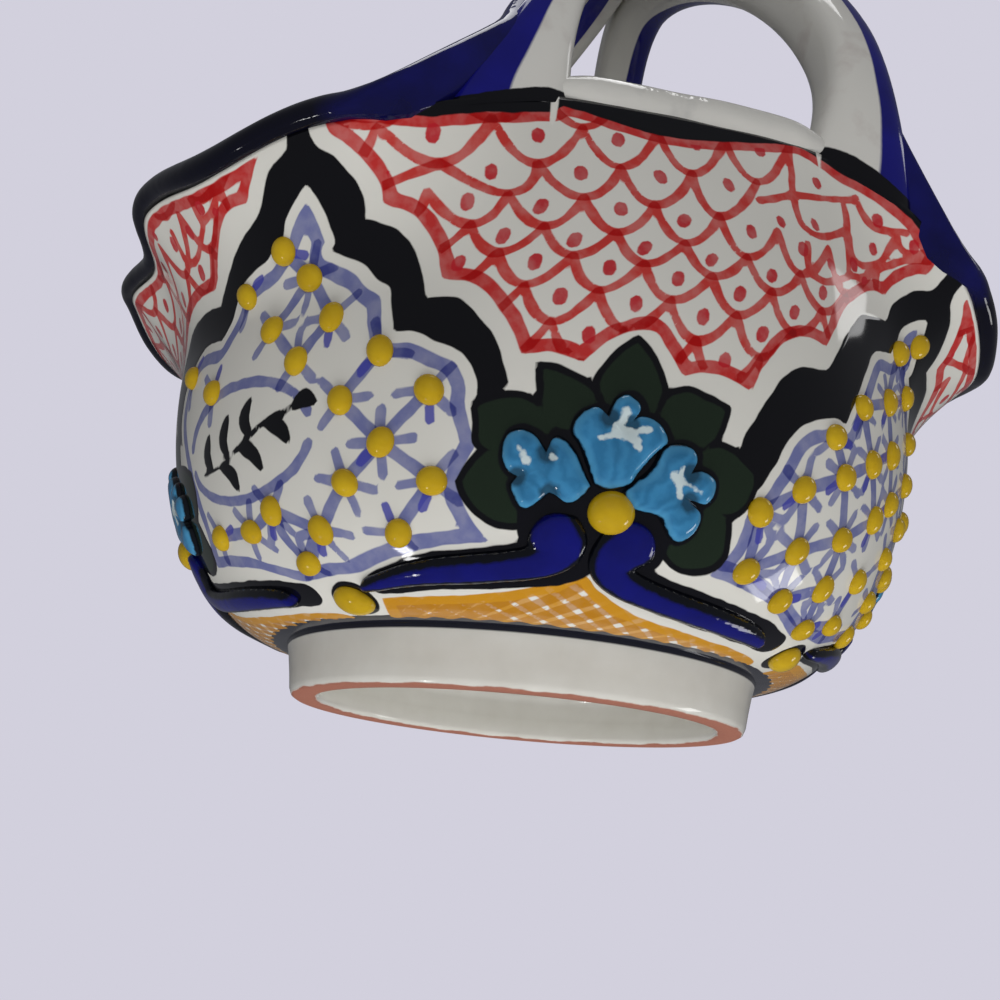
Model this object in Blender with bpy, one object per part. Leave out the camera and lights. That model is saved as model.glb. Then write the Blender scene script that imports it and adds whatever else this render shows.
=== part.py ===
"""Basket bowl in painted tin-glazed earthenware, modelled as the clay pieces that are luted
together before firing: a thrown bowl with flared sides, its foot ring, the coils on its wavy
edge, two handle strands that arch from front to back, and the raised flowers, scrolls and slip
beads on the wall. Metres, +Z up, front towards -Y, origin at the middle of the resting face."""

from functools import lru_cache
from math import ceil, cos, degrees, floor, pi, radians, sin

import bmesh
import bpy
import numpy as np
from mathutils import Vector

# Joints
JOINT = 0.0003             # gap where a piece is luted on to another
EDGE_JOINT = 0.0004        # gap under what stands on the wavy edge

# Foot ring
FOOT_HEIGHT = 0.0105
FOOT_RADIUS = 0.048        # outside, at the resting face
FOOT_TOP_RADIUS = 0.050    # outside, where the bowl begins
FOOT_EDGE = 0.0057         # width of the resting face with its two chamfers
FOOT_CHAMFER = 0.0007

# Bowl
BELLY_RADIUS = 0.080
BELLY_HEIGHT = 0.061
WALL = 0.0055
FLOOR = 0.006
FLOOR_INSET = 0.006        # the flat floor's edge, inside the foot's outer edge
SIDES = 72                 # facets round the bowl
LOWER_ROWS = 8
UPPER_ROWS = 9
FLOOR_ROWS = 6

# Edge of the wall over a quarter turn, from the handle window (0) to the pinched side (90):
# azimuth, reach beyond the belly, height above the belly, slope of the wall at the edge
EDGE = [(0, -0.0080, 0.0435, 98),
        (20, -0.0045, 0.0430, 94),
        (33, 0.0060, 0.0350, 66),
        (45, 0.0130, 0.0245, 46),
        (60, 0.0150, 0.0200, 40),
        (76, 0.0155, 0.0235, 38),
        (90, 0.0095, 0.0225, 38)]
EDGE_SKEW = 0.0025         # how much higher the right end of each window stands, and lower the left
SKEW_END = 60              # azimuth where the skew has died away
RISE_FROM_BELLY = 1.1      # how long the upper wall stays upright
ARRIVE_AT_EDGE = 0.9       # how early it takes the slope of the edge

# Coils on the edge
RIM_COIL_WIDTH = 0.009
RIM_COIL_HEIGHT = 0.0052
SILL_COIL_WIDTH = 0.0075
SILL_COIL_HEIGHT = 0.0068
COIL_SINK = 0.4            # share of a coil's height below its middle
SILL_END_GAP = 0.0012      # clearance between a sill coil and the strand that leans over it
COIL_SECTION = 10          # corners round a coil

# Handle strands
STRAND_FROM = 20           # azimuths where a strand stands on the edge
STRAND_TO = 34
STRAND_BASE = 0.0065       # thickness at the foot of the strand
LEFT_STRAND_WIDTH = 0.0085
LEFT_STRAND_THICKNESS = 0.011
RIGHT_STRAND_WIDTH = 0.013
RIGHT_STRAND_THICKNESS = 0.0135
CROWN_HEIGHT = 0.190       # middle of the strands at the top
HANDLE_LEAN = 0.012        # how far the crown stands to the right of the middle
ARCH_POWER = 1.8           # 2 is an ellipse, less is more pointed
CLOSING_POWER = 1.85       # how late the strands close in on each other
STRAND_FLARE = 0.38        # share of the climb over which the base narrows to the bar
STRAND_RINGS = 13          # sections from the base to the crown

# Layout of the decoration, the same in each quarter: heights are measured up the wall's
# surface from the foot, and the hand-painted design leans a few degrees to the left
LEAN = [(0.000, -6.0), (0.012, -6.0), (0.025, -9.5), (0.055, -8.5), (0.090, -4.0)]
QUARTERS = {"front": 0, "right": 90, "back": 180, "left": -90}
CORNERS = {"front_right": 45, "back_right": 135, "back_left": 225, "front_left": -45}

# Flowers
FLOWER_UP = 0.029
FLOWER_BEAD_RADIUS = 0.0042
FLOWER_BEAD_HEIGHT = 0.0030
PETAL_TURNS = {"left": -62, "middle": 0, "right": 62}
PETAL_GAP = 0.0006         # bare wall between the bead and a petal
PETAL_HEIGHT = 0.0026
PETAL_SIDE = [(0.0000, 0.0014), (0.0035, 0.0034), (0.0070, 0.0061), (0.0102, 0.0069),
              (0.0130, 0.0052), (0.0142, 0.0026)]
PETAL_TIP = 0.0145

# Scrolls: azimuth beside the flower, height up the wall, half width
SCROLL = [(6.6, 0.0243, 0.0037), (4.2, 0.0222, 0.0030), (2.9, 0.0195, 0.0022),
          (5.4, 0.0172, 0.0024), (11.0, 0.0158, 0.0027), (18.0, 0.0148, 0.0027),
          (25.0, 0.0136, 0.0025), (32.0, 0.0123, 0.0020), (38.0, 0.0110, 0.0013)]
SCROLL_HEIGHT = 0.0019
SCROLL_STEPS = 18
SCROLL_BEAD_UP = 0.0092
SCROLL_BEAD_RADIUS = 0.0036
SCROLL_BEAD_HEIGHT = 0.0021

# Beads of the four lattice panels: degrees from the middle of the panel, height up the wall
BEAD_RADIUS = 0.0029
BEAD_HEIGHT = 0.0019
BEAD_ROOT = 0.001          # how deep a bead's slip is keyed into the wall
PANEL_BEADS = [(1.5, 0.0795), (-2, 0.0755), (4.5, 0.069), (-2.5, 0.064), (11, 0.062),
               (-10, 0.059), (1, 0.0545), (11.5, 0.053), (-15, 0.051), (-5, 0.050),
               (20.5, 0.0485), (4.5, 0.046), (-11, 0.045), (14, 0.0445), (0, 0.041),
               (-18.5, 0.040), (11, 0.037), (24.5, 0.037), (18, 0.0355), (-7, 0.0345),
               (-24.5, 0.034), (3.5, 0.0295), (-15.5, 0.0295), (14.5, 0.0285), (22, 0.027),
               (-5.5, 0.025), (-23, 0.0235), (4, 0.020), (15.5, 0.0205), (-14.5, 0.020),
               (-5, 0.0165)]
# The front left panel, whose middle is left bare as a white oval
OVAL_PANEL_BEADS = [(-4, 0.0745), (0, 0.069), (-11.5, 0.069), (5, 0.061), (-5, 0.061),
                    (-26, 0.059), (13, 0.054), (0.5, 0.054), (-17.5, 0.053), (20, 0.047),
                    (8, 0.046), (14, 0.0385), (21, 0.032), (8.5, 0.032), (-5.5, 0.0285),
                    (-21, 0.026), (-11.5, 0.0255), (3, 0.024), (15.5, 0.023), (-3.5, 0.018)]


def smooth(knots, column, x):
    """Monotone cubic through the knots' first and given columns, level at both ends."""
    xs = [k[0] for k in knots]
    ys = [k[column] for k in knots]
    x = min(max(x, xs[0]), xs[-1])
    gaps = np.diff(xs)
    rises = np.diff(ys) / gaps
    slopes = np.zeros(len(xs))
    for i in range(1, len(xs) - 1):
        if rises[i - 1] * rises[i] > 0:
            before = 2 * gaps[i] + gaps[i - 1]
            after = gaps[i] + 2 * gaps[i - 1]
            slopes[i] = (before + after) / (before / rises[i - 1] + after / rises[i])
    i = min(int(np.searchsorted(xs, x, side="right")) - 1, len(xs) - 2)
    s = (x - xs[i]) / gaps[i]
    start = (1 + 2 * s) * (1 - s) ** 2 * ys[i] + s * (1 - s) ** 2 * gaps[i] * slopes[i]
    end = s * s * (3 - 2 * s) * ys[i + 1] + s * s * (s - 1) * gaps[i] * slopes[i + 1]
    return start + end


@lru_cache(maxsize=None)
def edge_shape(azimuth):
    """Reach beyond the belly, height above it and slope of the wall's edge."""
    turned = (azimuth + 180) % 360 - 180
    place = min(abs(turned), 180 - abs(turned))
    skew = EDGE_SKEW * sin(pi * min(place / SKEW_END, 1)) * (1 if turned > 0 else -1)
    climb = smooth(EDGE, 2, place) + skew
    return smooth(EDGE, 1, place), climb, radians(smooth(EDGE, 3, place))


def profile_point(azimuth, s):
    """Radius and height of the outer wall: s is 0 at the foot, 1 at the belly, 2 at the edge."""
    seat = FOOT_HEIGHT + JOINT
    if s <= 1:
        radius = FOOT_TOP_RADIUS + (BELLY_RADIUS - FOOT_TOP_RADIUS) * sin(s * pi / 2)
        return radius, BELLY_HEIGHT - (BELLY_HEIGHT - seat) * cos(s * pi / 2)
    reach, climb, slope = edge_shape(azimuth)
    s -= 1
    rise = RISE_FROM_BELLY * climb
    arrive = ARRIVE_AT_EDGE * climb
    ease = s * s * (3 - 2 * s)
    leave = s * (1 - s) ** 2
    land = s * s * (s - 1)
    radius = BELLY_RADIUS + ease * reach + land * arrive * cos(slope)
    return radius, BELLY_HEIGHT + leave * rise + ease * climb + land * arrive * sin(slope)


def profile_normal(azimuth, s):
    """Outward normal of the wall as radius and height parts."""
    step = 1e-3
    low = profile_point(azimuth, max(s - step, 0))
    high = profile_point(azimuth, min(s + step, 2))
    along = Vector((high[0] - low[0], high[1] - low[1])).normalized()
    return Vector((along.y, -along.x))


def place_at(azimuth, radius, height):
    """A point from its azimuth (0 at the front, growing to +X), radius and height."""
    return Vector((radius * sin(radians(azimuth)), -radius * cos(radians(azimuth)), height))


@lru_cache(maxsize=None)
def profile_length(azimuth):
    """Profile parameters and the lengths up the wall that they stand at."""
    steps = np.linspace(0, 2, 81)
    points = np.array([profile_point(azimuth, s) for s in steps])
    runs = np.hypot(*np.diff(points, axis=0).T)
    return steps, np.concatenate(([0], np.cumsum(runs)))


def on_wall(azimuth, up, lift):
    """Point on the outer wall, `up` metres along its surface from the foot, raised by `lift`."""
    steps, lengths = profile_length(round(azimuth % 360, 1))
    s = float(np.interp(up, lengths, steps))
    radius, height = profile_point(azimuth, s)
    normal = profile_normal(azimuth, s)
    return place_at(azimuth, radius + normal.x * lift, height + normal.y * lift)


def design_azimuth(azimuth, up):
    """Azimuth of a painted or raised motif once the lean of the design is added."""
    return azimuth + smooth(LEAN, 1, up)


def edge_middle(azimuth):
    """Middle of the wall's edge on its smooth curve."""
    radius, height = profile_point(azimuth, 2)
    normal = profile_normal(azimuth, 2)
    return place_at(azimuth, radius - normal.x * WALL / 2, height - normal.y * WALL / 2)


def edge_frame(azimuth):
    """Middle of the faceted edge, the direction up the wall and the direction out of it."""
    facet = 360 / SIDES
    corner = floor(azimuth / facet) * facet
    share = (azimuth - corner) / facet
    middle = edge_middle(corner).lerp(edge_middle(corner + facet), share)
    normal = profile_normal(azimuth, 2)
    up = place_at(azimuth, -normal.y, normal.x)
    return middle, up, place_at(azimuth, normal.x, normal.y)


def edge_stations(start, end):
    """Both ends of a stretch of the edge and the facet corners between them."""
    facet = 360 / SIDES
    corners = [i * facet for i in range(ceil(start / facet), floor(end / facet) + 1)]
    return [start] + [c for c in corners if start + 0.1 < c < end - 0.1] + [end]


def material(name, colour, roughness):
    made = bpy.data.materials.new(name)
    made.use_nodes = True
    shader = made.node_tree.nodes["Principled BSDF"]
    shader.inputs["Base Color"].default_value = (*colour, 1)
    shader.inputs["Roughness"].default_value = roughness
    shader.inputs["Metallic"].default_value = 0
    made.diffuse_color = (*colour, 1)
    return made


def finish(name, bm, colour, roughness=0.12):
    """Turn the bmesh into a named, smooth-shaded object with its own material."""
    bmesh.ops.recalc_face_normals(bm, faces=bm.faces)
    mesh = bpy.data.meshes.new(name)
    bm.to_mesh(mesh)
    bm.free()
    mesh.shade_smooth()
    mesh.set_sharp_from_angle(angle=radians(50))
    made = bpy.data.objects.new(name, mesh)
    bpy.context.collection.objects.link(made)
    mesh.materials.append(material(name + "_glaze", colour, roughness))
    return made


def loft(bm, rings, first_pole=None, last_pole=None):
    """Skin a row of equal rings. An end with a pole gets a fan, and an end without one a strip
    of triangles between the corners of its first half and those opposite."""
    loops = [[bm.verts.new(point) for point in ring] for ring in rings]
    count = len(loops[0])
    for lower, upper in zip(loops, loops[1:]):
        for i in range(count):
            j = (i + 1) % count
            bm.faces.new((lower[i], lower[j], upper[j], upper[i]))
    for loop, pole in ((loops[0], first_pole), (loops[-1], last_pole)):
        if pole is None:
            for i in range(count // 2 - 1):
                bm.faces.new((loop[i], loop[i + 1], loop[count - 1 - i]))
                bm.faces.new((loop[i + 1], loop[count - 2 - i], loop[count - 1 - i]))
            continue
        tip = bm.verts.new(pole)
        for i in range(count):
            bm.faces.new((loop[i], loop[(i + 1) % count], tip))


def foot_ring():
    """Trimmed ring that the bowl stands on, bare of glaze on its resting face."""
    inner = FOOT_RADIUS - FOOT_EDGE
    section = [(FOOT_TOP_RADIUS, FOOT_HEIGHT),
               (FOOT_RADIUS + FOOT_CHAMFER / 4, FOOT_CHAMFER),
               (FOOT_RADIUS - FOOT_CHAMFER, 0),
               (inner + FOOT_CHAMFER, 0),
               (inner, FOOT_CHAMFER),
               (inner, FOOT_HEIGHT)]
    bm = bmesh.new()
    corners = [bm.verts.new((0, -radius, height)) for radius, height in section]
    edges = [bm.edges.new((a, b)) for a, b in zip(corners, corners[1:] + corners[:1])]
    bmesh.ops.spin(bm, geom=corners + edges, cent=(0, 0, 0), axis=(0, 0, 1), angle=2 * pi,
                   steps=SIDES, use_merge=True)
    finish("foot_ring", bm, (0.58, 0.56, 0.50))


def bowl():
    """Thrown bowl: floor, belly and the upper wall that is drawn out into flared sides."""
    azimuths = [i * 360 / SIDES for i in range(SIDES)]
    seat = FOOT_HEIGHT + JOINT
    floor_top = seat + FLOOR
    floor_radius = FOOT_TOP_RADIUS - FLOOR_INSET
    outside = [s / LOWER_ROWS for s in range(LOWER_ROWS)]
    outside += [1 + s / UPPER_ROWS for s in range(UPPER_ROWS + 1)]
    rings = [[place_at(a, *profile_point(a, s)) for a in azimuths] for s in outside]
    for row in range(UPPER_ROWS, 0, -1):
        s = 1 + row / UPPER_ROWS
        ring = []
        for a in azimuths:
            radius, height = profile_point(a, s)
            normal = profile_normal(a, s)
            ring.append(place_at(a, radius - normal.x * WALL, height - normal.y * WALL))
        rings.append(ring)
    for row in range(FLOOR_ROWS, -1, -1):
        q = row / FLOOR_ROWS * pi / 2
        radius = floor_radius + (BELLY_RADIUS - WALL - floor_radius) * sin(q)
        height = BELLY_HEIGHT - (BELLY_HEIGHT - floor_top) * cos(q)
        rings.append([place_at(a, radius, height) for a in azimuths])
    bm = bmesh.new()
    loft(bm, rings, first_pole=(0, 0, seat), last_pole=(0, 0, floor_top))
    return finish("bowl", bm, (0.60, 0.58, 0.52))


def coil(name, start, end, width, height, colour):
    """Clay coil pressed on to the edge of the wall between two azimuths."""
    rings = []
    for azimuth in edge_stations(start, end):
        middle, up, out = edge_frame(azimuth)
        ring = []
        for k in range(COIL_SECTION):
            turn = 2 * pi * k / COIL_SECTION
            across = width / 2 * cos(turn)
            above = EDGE_JOINT + height * COIL_SINK + height * (1 - COIL_SINK) * sin(turn)
            ring.append(middle + out * across + up * max(above, EDGE_JOINT))
        rings.append(ring)
    bm = bmesh.new()
    loft(bm, rings)
    finish(name, bm, colour)


def edge_gap(azimuth, gap):
    """A gap at the end of a coil, as degrees along the edge."""
    return degrees(gap / profile_point(azimuth, 2)[0])


def coils():
    """Blue coils on the flared sides and white ones on the sills of the handle windows."""
    start = STRAND_TO + edge_gap(STRAND_TO, EDGE_JOINT)
    blue = (0.010, 0.012, 0.16)
    coil("rim_coil_right", start, 180 - start, RIM_COIL_WIDTH, RIM_COIL_HEIGHT, blue)
    coil("rim_coil_left", 180 + start, 360 - start, RIM_COIL_WIDTH, RIM_COIL_HEIGHT, blue)
    end = STRAND_FROM - edge_gap(STRAND_FROM, SILL_END_GAP)
    white = (0.60, 0.58, 0.52)
    coil("sill_coil_front", -end, end, SILL_COIL_WIDTH, SILL_COIL_HEIGHT, white)
    coil("sill_coil_back", 180 - end, 180 + end, SILL_COIL_WIDTH, SILL_COIL_HEIGHT, white)


def strand_path(turn, base, width):
    """Middle of a strand's front half: turn is 0 on the edge and a quarter turn at the crown."""
    aside = width / 2 + JOINT / 2
    top = aside if base.x > 0 else -aside
    forward = base.y * cos(turn) ** (2 / ARCH_POWER)
    climb = sin(turn) ** (2 / ARCH_POWER)
    aside = top + (base.x - top) * (1 - climb ** CLOSING_POWER)
    lean = HANDLE_LEAN * sin(climb * pi / 2) ** 1.2
    return Vector((aside + lean, forward, base.z + (CROWN_HEIGHT - base.z) * climb))


def strand(name, side, width, thickness):
    """One strand of the handle, from the front edge over the crown to the back edge."""
    middle = side * (STRAND_FROM + STRAND_TO) / 2
    half = (STRAND_TO - STRAND_FROM) / 2
    spread = [(a - middle) / half for a in edge_stations(middle - half, middle + half)]
    spread = sorted(spread + [-0.8, 0.8], reverse=side > 0)
    front = [(a, 0.45 + 0.55 * (1 - abs(a) ** 3)) for a in spread]
    corners = front + [(a, -b) for a, b in reversed(front)]
    centre, up, _ = edge_frame(middle)
    base = centre + up * EDGE_JOINT
    feet = []
    for a, b in corners:
        place, up, out = edge_frame(middle + a * half)
        feet.append(place + up * EDGE_JOINT + out * b * STRAND_BASE / 2 - base)
    rings = []
    for i in range(STRAND_RINGS):
        turn = pi / 2 * (i / (STRAND_RINGS - 1)) ** 1.25
        here = strand_path(turn, base, width)
        ahead = strand_path(min(turn + 0.01, pi / 2), base, width)
        behind = strand_path(max(turn - 0.01, 0), base, width)
        along = (ahead - behind).normalized()
        if i == STRAND_RINGS - 1:
            along = Vector((0, 1, 0))
        out = Vector((0, -here.y / base.y, sin(turn)))
        out = (out - along * out.dot(along)).normalized()
        across = along.cross(out)
        share = min(i / (STRAND_RINGS - 1) / STRAND_FLARE, 1)
        share = share * share * (3 - 2 * share)
        ring = []
        for (a, b), foot in zip(corners, feet):
            bar = across * a * width / 2 + out * b * thickness / 2
            ring.append(here + foot.lerp(bar, share))
        rings.append(ring)
    back = [[Vector((p.x, -p.y, p.z)) for p in ring] for ring in rings[-2::-1]]
    bm = bmesh.new()
    loft(bm, rings + back)
    finish(name, bm, (0.60, 0.58, 0.52))


def mound(bm, azimuth, up, outline, height, seat=JOINT):
    """Raised piece on the wall over a flat outline of sideways and upward offsets."""
    def lay(share, lift):
        ring = []
        for sideways, upward in outline:
            radius = on_wall(azimuth, up + upward * share, 0).xy.length
            turn = degrees(sideways * share / radius)
            ring.append(on_wall(azimuth + turn, up + upward * share, lift))
        return ring

    middle_x = sum(point[0] for point in outline) / len(outline)
    middle_y = sum(point[1] for point in outline) / len(outline)
    outline = [(x - middle_x, y - middle_y) for x, y in outline]
    azimuth += degrees(middle_x / on_wall(azimuth, up + middle_y, 0).xy.length)
    up += middle_y
    rings = [lay(1.0, seat), lay(0.92, seat + height * 0.5), lay(0.62, seat + height * 0.9)]
    low = on_wall(azimuth, up, seat)
    loft(bm, rings, first_pole=low, last_pole=on_wall(azimuth, up, seat + height))


def circle(radius, count):
    return [(radius * cos(2 * pi * k / count), radius * sin(2 * pi * k / count))
            for k in range(count)]


def petal_outline(turn):
    """Lobed petal that starts at the edge of the flower's bead and points the given way."""
    start = FLOWER_BEAD_RADIUS + PETAL_GAP
    side = [(start + along, aside) for along, aside in PETAL_SIDE]
    tip = [(start + PETAL_TIP, 0)]
    points = side + tip + [(along, -aside) for along, aside in reversed(side)]
    c, s = cos(radians(turn)), sin(radians(turn))
    return [(along * s + aside * c, along * c - aside * s) for along, aside in points]


def flowers():
    """Three raised petals round a yellow bead in the middle of each quarter."""
    for quarter, azimuth in QUARTERS.items():
        azimuth = design_azimuth(azimuth, FLOWER_UP)
        for place, turn in PETAL_TURNS.items():
            petal = bmesh.new()
            mound(petal, azimuth, FLOWER_UP, petal_outline(turn), PETAL_HEIGHT)
            finish("petal_" + quarter + "_" + place, petal, (0.03, 0.20, 0.42))
        bead = bmesh.new()
        mound(bead, azimuth, FLOWER_UP, circle(FLOWER_BEAD_RADIUS, 10), FLOWER_BEAD_HEIGHT)
        finish("flower_bead_" + quarter, bead, (0.62, 0.38, 0.01))


def scroll(name, quarter, side):
    """Raised cobalt scroll that curls under the flower and tapers towards the corner's bead."""
    order = [(i,) + row for i, row in enumerate(SCROLL)]
    rings = []
    last = len(SCROLL) - 1
    stations = []
    for i in range(SCROLL_STEPS + 1):
        place = last * i / SCROLL_STEPS
        here = [catmull(order, column, place) for column in (1, 2, 3)]
        stations.append(here)
    for i, (azimuth, up, half) in enumerate(stations):
        before = stations[max(i - 1, 0)]
        after = stations[min(i + 1, SCROLL_STEPS)]
        radius = on_wall(quarter, up, 0).xy.length
        run = Vector((radians(after[0] - before[0]) * radius, after[1] - before[1])).normalized()
        if i in (0, SCROLL_STEPS):
            half *= 0.6
        ring = []
        for across, lift in ((-1, 0), (-0.75, 0.7), (0, 1), (0.75, 0.7), (1, 0), (0, 0)):
            sideways = -run.y * across * half
            upward = run.x * across * half
            turn = side * (azimuth + degrees(sideways / radius))
            place = up + upward
            centre = quarter + smooth(LEAN, 1, up)
            height = lift * SCROLL_HEIGHT
            ring.append(on_wall(centre + turn, place, JOINT + height))
        rings.append(ring)
    bm = bmesh.new()
    loft(bm, rings)
    finish(name, bm, (0.010, 0.012, 0.16))


def catmull(rows, column, place):
    """Smooth curve through all the rows, at a place counted in rows."""
    last = len(rows) - 1
    i = min(int(place), last - 1)
    t = place - i
    p0, p1 = rows[max(i - 1, 0)][column], rows[i][column]
    p2, p3 = rows[i + 1][column], rows[min(i + 2, last)][column]
    bend = 2 * p0 - 5 * p1 + 4 * p2 - p3
    twist = 3 * p1 - p0 - 3 * p2 + p3
    return (2 * p1 + (p2 - p0) * t + bend * t * t + twist * t ** 3) / 2


def scrolls():
    """A left and a right scroll in each quarter, and the bead where two quarters meet."""
    for quarter, azimuth in QUARTERS.items():
        scroll("scroll_" + quarter + "_left", azimuth, -1)
        scroll("scroll_" + quarter + "_right", azimuth, 1)
    for corner, azimuth in CORNERS.items():
        azimuth = design_azimuth(azimuth, SCROLL_BEAD_UP)
        bead = bmesh.new()
        mound(bead, azimuth, SCROLL_BEAD_UP, circle(SCROLL_BEAD_RADIUS, 10), SCROLL_BEAD_HEIGHT)
        finish("scroll_bead_" + corner, bead, (0.62, 0.38, 0.01))


def panel_beads(pot):
    """Slip beads on the crossings of each panel's lattice, fused to the wall of the bowl."""
    bm = bmesh.new()
    for corner, azimuth in CORNERS.items():
        places = OVAL_PANEL_BEADS if corner == "front_left" else PANEL_BEADS
        for offset, up in places:
            place = design_azimuth(azimuth + offset, up)
            mound(bm, place, up, circle(BEAD_RADIUS, 8), BEAD_HEIGHT + BEAD_ROOT,
                  seat=-BEAD_ROOT)
    beads = finish("panel_beads", bm, (0.62, 0.38, 0.01))
    beads.hide_render = True
    beads.display_type = "WIRE"
    fuse = pot.modifiers.new("slip beads", "BOOLEAN")
    fuse.operation = "UNION"
    fuse.solver = "EXACT"
    fuse.object = beads


for old in list(bpy.data.objects):
    bpy.data.objects.remove(old, do_unlink=True)

panel_beads(bowl())
foot_ring()
coils()
strand("handle_strand_left", -1, LEFT_STRAND_WIDTH, LEFT_STRAND_THICKNESS)
strand("handle_strand_right", 1, RIGHT_STRAND_WIDTH, RIGHT_STRAND_THICKNESS)
flowers()
scrolls()
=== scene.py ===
"""Looks of the basket bowl: red earthenware under white tin glaze, painted by hand over the
glaze and fired again. Every piece is made afresh over its solid. Metres; paint in millimetres."""

from math import cos, degrees, pi, radians, sin

import bpy
import numpy as np
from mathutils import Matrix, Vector


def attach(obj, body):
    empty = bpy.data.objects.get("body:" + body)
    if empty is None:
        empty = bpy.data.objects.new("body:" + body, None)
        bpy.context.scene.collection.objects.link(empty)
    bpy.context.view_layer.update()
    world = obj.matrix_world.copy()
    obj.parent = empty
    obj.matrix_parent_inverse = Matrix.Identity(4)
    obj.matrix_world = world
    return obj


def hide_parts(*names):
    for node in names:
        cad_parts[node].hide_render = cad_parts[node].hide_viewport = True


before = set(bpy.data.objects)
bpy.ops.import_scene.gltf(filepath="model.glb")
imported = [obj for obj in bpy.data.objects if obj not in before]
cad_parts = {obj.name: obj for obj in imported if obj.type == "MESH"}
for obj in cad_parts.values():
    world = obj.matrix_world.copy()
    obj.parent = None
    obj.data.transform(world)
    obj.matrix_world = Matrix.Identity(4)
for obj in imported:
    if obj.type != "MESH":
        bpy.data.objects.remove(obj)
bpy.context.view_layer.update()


# Bowl wall
# The bowl is thrown on the wheel in red earthenware. While it is soft its two sides are pulled
# outwards, so the wall follows one round section up to the belly and a wavy edge above it.
SEAT = 0.0108
FOOT_TOP_RADIUS = 0.050
BELLY_RADIUS = 0.080
BELLY_HEIGHT = 0.061
WALL = 0.0055
FLOOR_TOP = SEAT + 0.006
FLOOR_RADIUS = 0.044
# Azimuth from the window to the pinched side, reach, height above the belly, slope of the edge
EDGE = np.array([(0, -0.0080, 0.0435, 98), (20, -0.0045, 0.0430, 94), (33, 0.0060, 0.0350, 66),
                 (45, 0.0130, 0.0245, 46), (60, 0.0150, 0.0200, 40), (76, 0.0155, 0.0235, 38),
                 (90, 0.0095, 0.0225, 38)])
EDGE_SKEW = 0.0025
SKEW_END = 60
# The left front edge was pulled a little higher: azimuth, spread and rise
HIGH_PLACE = -49
HIGH_SPREAD = 11
HIGH_RISE = 0.0042
RISE_FROM_BELLY = 1.1
ARRIVE_AT_EDGE = 0.9


def smooth(knots, column, x):
    """Monotone cubic through one column of the knots, level at both ends."""
    xs = knots[:, 0]
    ys = knots[:, column]
    gaps = np.diff(xs)
    rises = np.diff(ys) / gaps
    slopes = np.zeros(len(xs))
    for i in range(1, len(xs) - 1):
        if rises[i - 1] * rises[i] > 0:
            before = 2 * gaps[i] + gaps[i - 1]
            after = gaps[i] + 2 * gaps[i - 1]
            slopes[i] = (before + after) / (before / rises[i - 1] + after / rises[i])
    x = np.clip(x, xs[0], xs[-1])
    i = np.clip(np.searchsorted(xs, x, side="right") - 1, 0, len(xs) - 2)
    s = (x - xs[i]) / gaps[i]
    start = (1 + 2 * s) * (1 - s) ** 2 * ys[i] + s * (1 - s) ** 2 * gaps[i] * slopes[i]
    return start + s * s * (3 - 2 * s) * ys[i + 1] + s * s * (s - 1) * gaps[i] * slopes[i + 1]


def section(azimuth, s):
    """Radius and height of the outer wall: s is 0 at the foot, 1 at the belly, 2 at the edge."""
    turned = (azimuth + 180) % 360 - 180
    place = np.minimum(abs(turned), 180 - abs(turned))
    skew = EDGE_SKEW * np.sin(pi * np.minimum(place / SKEW_END, 1)) * np.where(turned > 0, 1, -1)
    reach = smooth(EDGE, 1, place)
    climb = smooth(EDGE, 2, place) + skew
    slope = np.radians(smooth(EDGE, 3, place))
    quarter = np.minimum(s, 1) * pi / 2
    low_radius = FOOT_TOP_RADIUS + (BELLY_RADIUS - FOOT_TOP_RADIUS) * np.sin(quarter)
    low_height = BELLY_HEIGHT - (BELLY_HEIGHT - SEAT) * np.cos(quarter)
    t = np.maximum(s - 1, 0)
    ease = t * t * (3 - 2 * t)
    land = t * t * (t - 1) * ARRIVE_AT_EDGE * climb
    radius = BELLY_RADIUS + ease * reach + land * np.cos(slope)
    height = t * (1 - t) ** 2 * RISE_FROM_BELLY * climb + ease * climb + land * np.sin(slope)
    height = height + HIGH_RISE * np.exp(-((turned - HIGH_PLACE) / HIGH_SPREAD) ** 2) * t ** 4
    return np.where(s < 1, low_radius, radius), np.where(s < 1, low_height, BELLY_HEIGHT + height)


def outward(azimuth, s):
    """Radius and height parts of the wall's outward normal."""
    low = section(azimuth, np.maximum(s - 1e-3, 0))
    high = section(azimuth, np.minimum(s + 1e-3, 2))
    along = high[0] - low[0], high[1] - low[1]
    size = np.hypot(*along)
    return along[1] / size, -along[0] / size


def turned_out(azimuth, radius, height):
    """Points from azimuth (0 at the front, growing to +X), radius and height."""
    turn = np.radians(azimuth)
    return np.stack([radius * np.sin(turn), -radius * np.cos(turn), height + 0 * turn], -1)


# Lengths up the wall for each degree, and the parameter found at each half millimetre
PER_PART = 40
HALF_MM = 0.0005
STEPS = np.linspace(0, 2, 2 * PER_PART + 1)
degree, step = np.meshgrid(np.arange(361.0), STEPS, indexing="ij")
outline = section(degree, step)
runs = np.hypot(np.diff(outline[0], axis=1), np.diff(outline[1], axis=1))
LENGTHS = np.concatenate((np.zeros((361, 1)), np.cumsum(runs, axis=1)), axis=1)
PARAMETERS = np.array([np.interp(np.arange(0, 0.116, HALF_MM), row, STEPS) for row in LENGTHS])


def look_up(table, row, column):
    """Value between the entries of a table."""
    i = np.clip(row.astype(int), 0, table.shape[0] - 2)
    j = np.clip(column.astype(int), 0, table.shape[1] - 2)
    u = row - i
    v = np.clip(column - j, 0, 1)
    low = table[i, j] * (1 - v) + table[i, j + 1] * v
    high = table[i + 1, j] * (1 - v) + table[i + 1, j + 1] * v
    return low * (1 - u) + high * u


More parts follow.
